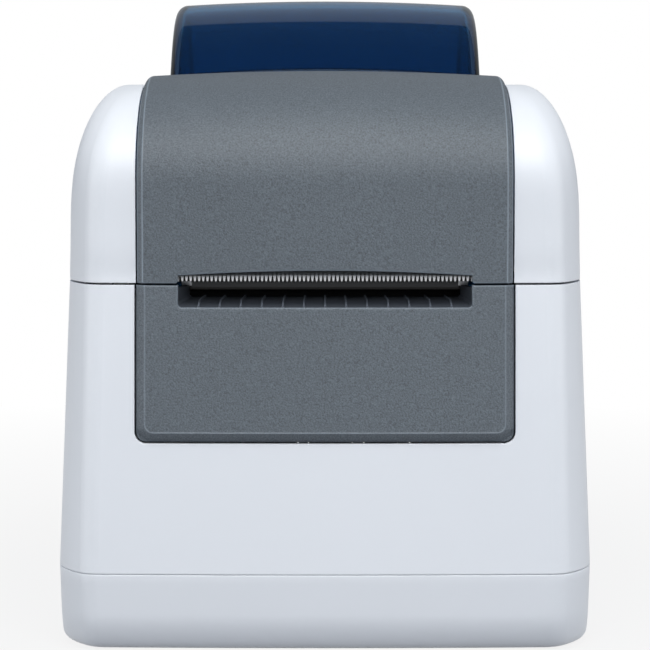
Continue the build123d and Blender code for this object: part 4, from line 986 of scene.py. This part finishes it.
# Rear sockets: three shells folded from nickel-plated sheet, fixed on the main board, with soft
# stains from handling.
nickel = bare_metal("nickel_shell", srgb(190, 188, 182), 0.26, 0.8 * mm, (1, 1, 0.2), 0.006 * mm,
                    0.08)
finish_nodes(nickel, "usb_socket", "network_socket", "serial_socket")


# Floor, light and camera: a pale sweep under a wide soft light, seen from the front and a
# little above, as a product photographer's table lens would see it.
white_level = 1.0
floor_half = 4.0
shadow_from, shadow_to = 0.12, 0.55         # the floor's shadow fades out between these distances
near_glow = 0.86                            # share of white in the floor close to the object
ambient_level = 0.5                         # the world's light on the object
mirror_level, backdrop_level = 0.05, 0.37   # what gloss mirrors: a dark room and its paler walls
rear_slope = math.tan(math.radians(53.0))   # the walls' upper edges, as seen from the object
front_slope = math.tan(math.radians(62.0))
lamp_colour = (1.0, 0.99, 0.97)
middle = (0.0, 0.0, 0.1)
lens = 147.7
eye = (0.0, -0.9053, 0.1702)
tilt = math.radians(5.05)


def seen_rays(tree, *kinds):
    """1 for rays of any of these kinds and 0 for all others."""
    path = tree.nodes.new("ShaderNodeLightPath")
    seen = Net(tree, path.outputs[f"Is {kinds[0]} Ray"])
    for kind in kinds[1:]:
        seen = seen.math("MAXIMUM", Net(tree, path.outputs[f"Is {kind} Ray"]))
    return seen


floor_mesh = bpy.data.meshes.new("floor")
corners = np.array([(-1, -1, 0), (1, -1, 0), (1, 1, 0), (-1, 1, 0)]) * floor_half
floor_mesh.from_pydata(corners.tolist(), [], [(0, 1, 2, 3)])
floor = bpy.data.objects.new("floor", floor_mesh)
bpy.context.scene.collection.objects.link(floor)
paper, tree, paper_shader, place = surface("pale_floor", Base_Color=(0.36, 0.37, 0.39, 1.0),
                                           Roughness=0.9)
distance = place.add("VectorMath", {"operation": "LENGTH"}, {0: place}, out=1)
away = distance.ramp(shadow_from, shadow_to)
share = seen_rays(tree, "Camera", "Glossy", "Transmission") * (near_glow + (1 - near_glow) * away)
glow = place.add("Emission", (), {"Color": (1.0, 1.0, 1.0, 1.0), "Strength": white_level})
mixed = share.add("MixShader", (), {0: share, 1: Net(tree, paper_shader.outputs[0]), 2: glow})
tree.links.new(mixed.socket, tree.nodes["Material Output"].inputs[0])
floor_mesh.materials.append(paper)

world = bpy.data.worlds.new("studio")
bpy.context.scene.world = world
world.use_nodes = True
sky = world.node_tree
ambient = sky.nodes["Background"]
_, to_rear, to_top = Net(sky).add("TexCoord", out="Generated").parts()
rear_wall = (to_rear * rear_slope - to_top).ramp(-0.01, 0.01) * to_rear.ramp(-0.01, 0.01)
front_wall = (to_rear * -front_slope - to_top).ramp(-0.1, 0.1) * to_rear.ramp(0.01, -0.01)
walls = (backdrop_level - mirror_level) * (rear_wall + front_wall)
level = ambient_level + seen_rays(sky, "Glossy") * (mirror_level - ambient_level + walls)
seen = seen_rays(sky, "Camera", "Transmission")
level = level + seen * (white_level - level)
sky.links.new(level.socket, ambient.inputs["Strength"])
tint = seen.blend((0.9, 0.95, 1.0, 1.0), (1.0, 1.0, 1.0, 1.0))
sky.links.new(tint.socket, ambient.inputs["Color"])


def soft_light(name, place, width, height, power):
    """A rectangular studio light that faces the middle of the object."""
    lamp = bpy.data.lights.new(name, "AREA")
    lamp.shape = "RECTANGLE"
    lamp.size = width
    lamp.size_y = height
    lamp.energy = power
    lamp.color = lamp_colour
    light = bpy.data.objects.new(name, lamp)
    bpy.context.scene.collection.objects.link(light)
    light.location = place
    aim = np.array(middle) - np.array(place)
    yaw = math.atan2(aim[0], -aim[1])
    pitch = math.atan2(math.hypot(aim[0], aim[1]), -aim[2])
    light.rotation_euler = (pitch, 0.0, yaw + math.pi)


soft_light("top", (0.03, -0.44, 0.94), 0.5, 0.3, 4.5)
soft_light("front", (0.05, -0.74, 0.62), 0.6, 0.4, 2.55)
soft_light("left", (-1.05, -0.4, 0.25), 0.5, 0.5, 1.85)
soft_light("right", (1.05, -0.4, 0.25), 0.5, 0.5, 1.85)

camera_data = bpy.data.cameras.new("camera")
camera_data.lens = lens
camera_data.sensor_width = 36.0
camera_data.clip_end = 50.0
camera = bpy.data.objects.new("camera", camera_data)
bpy.context.scene.collection.objects.link(camera)
camera.location = eye
camera.rotation_euler = (math.pi / 2 - tilt, 0.0, 0.0)
bpy.context.scene.camera = camera
bpy.context.scene.view_settings.view_transform = "Standard"
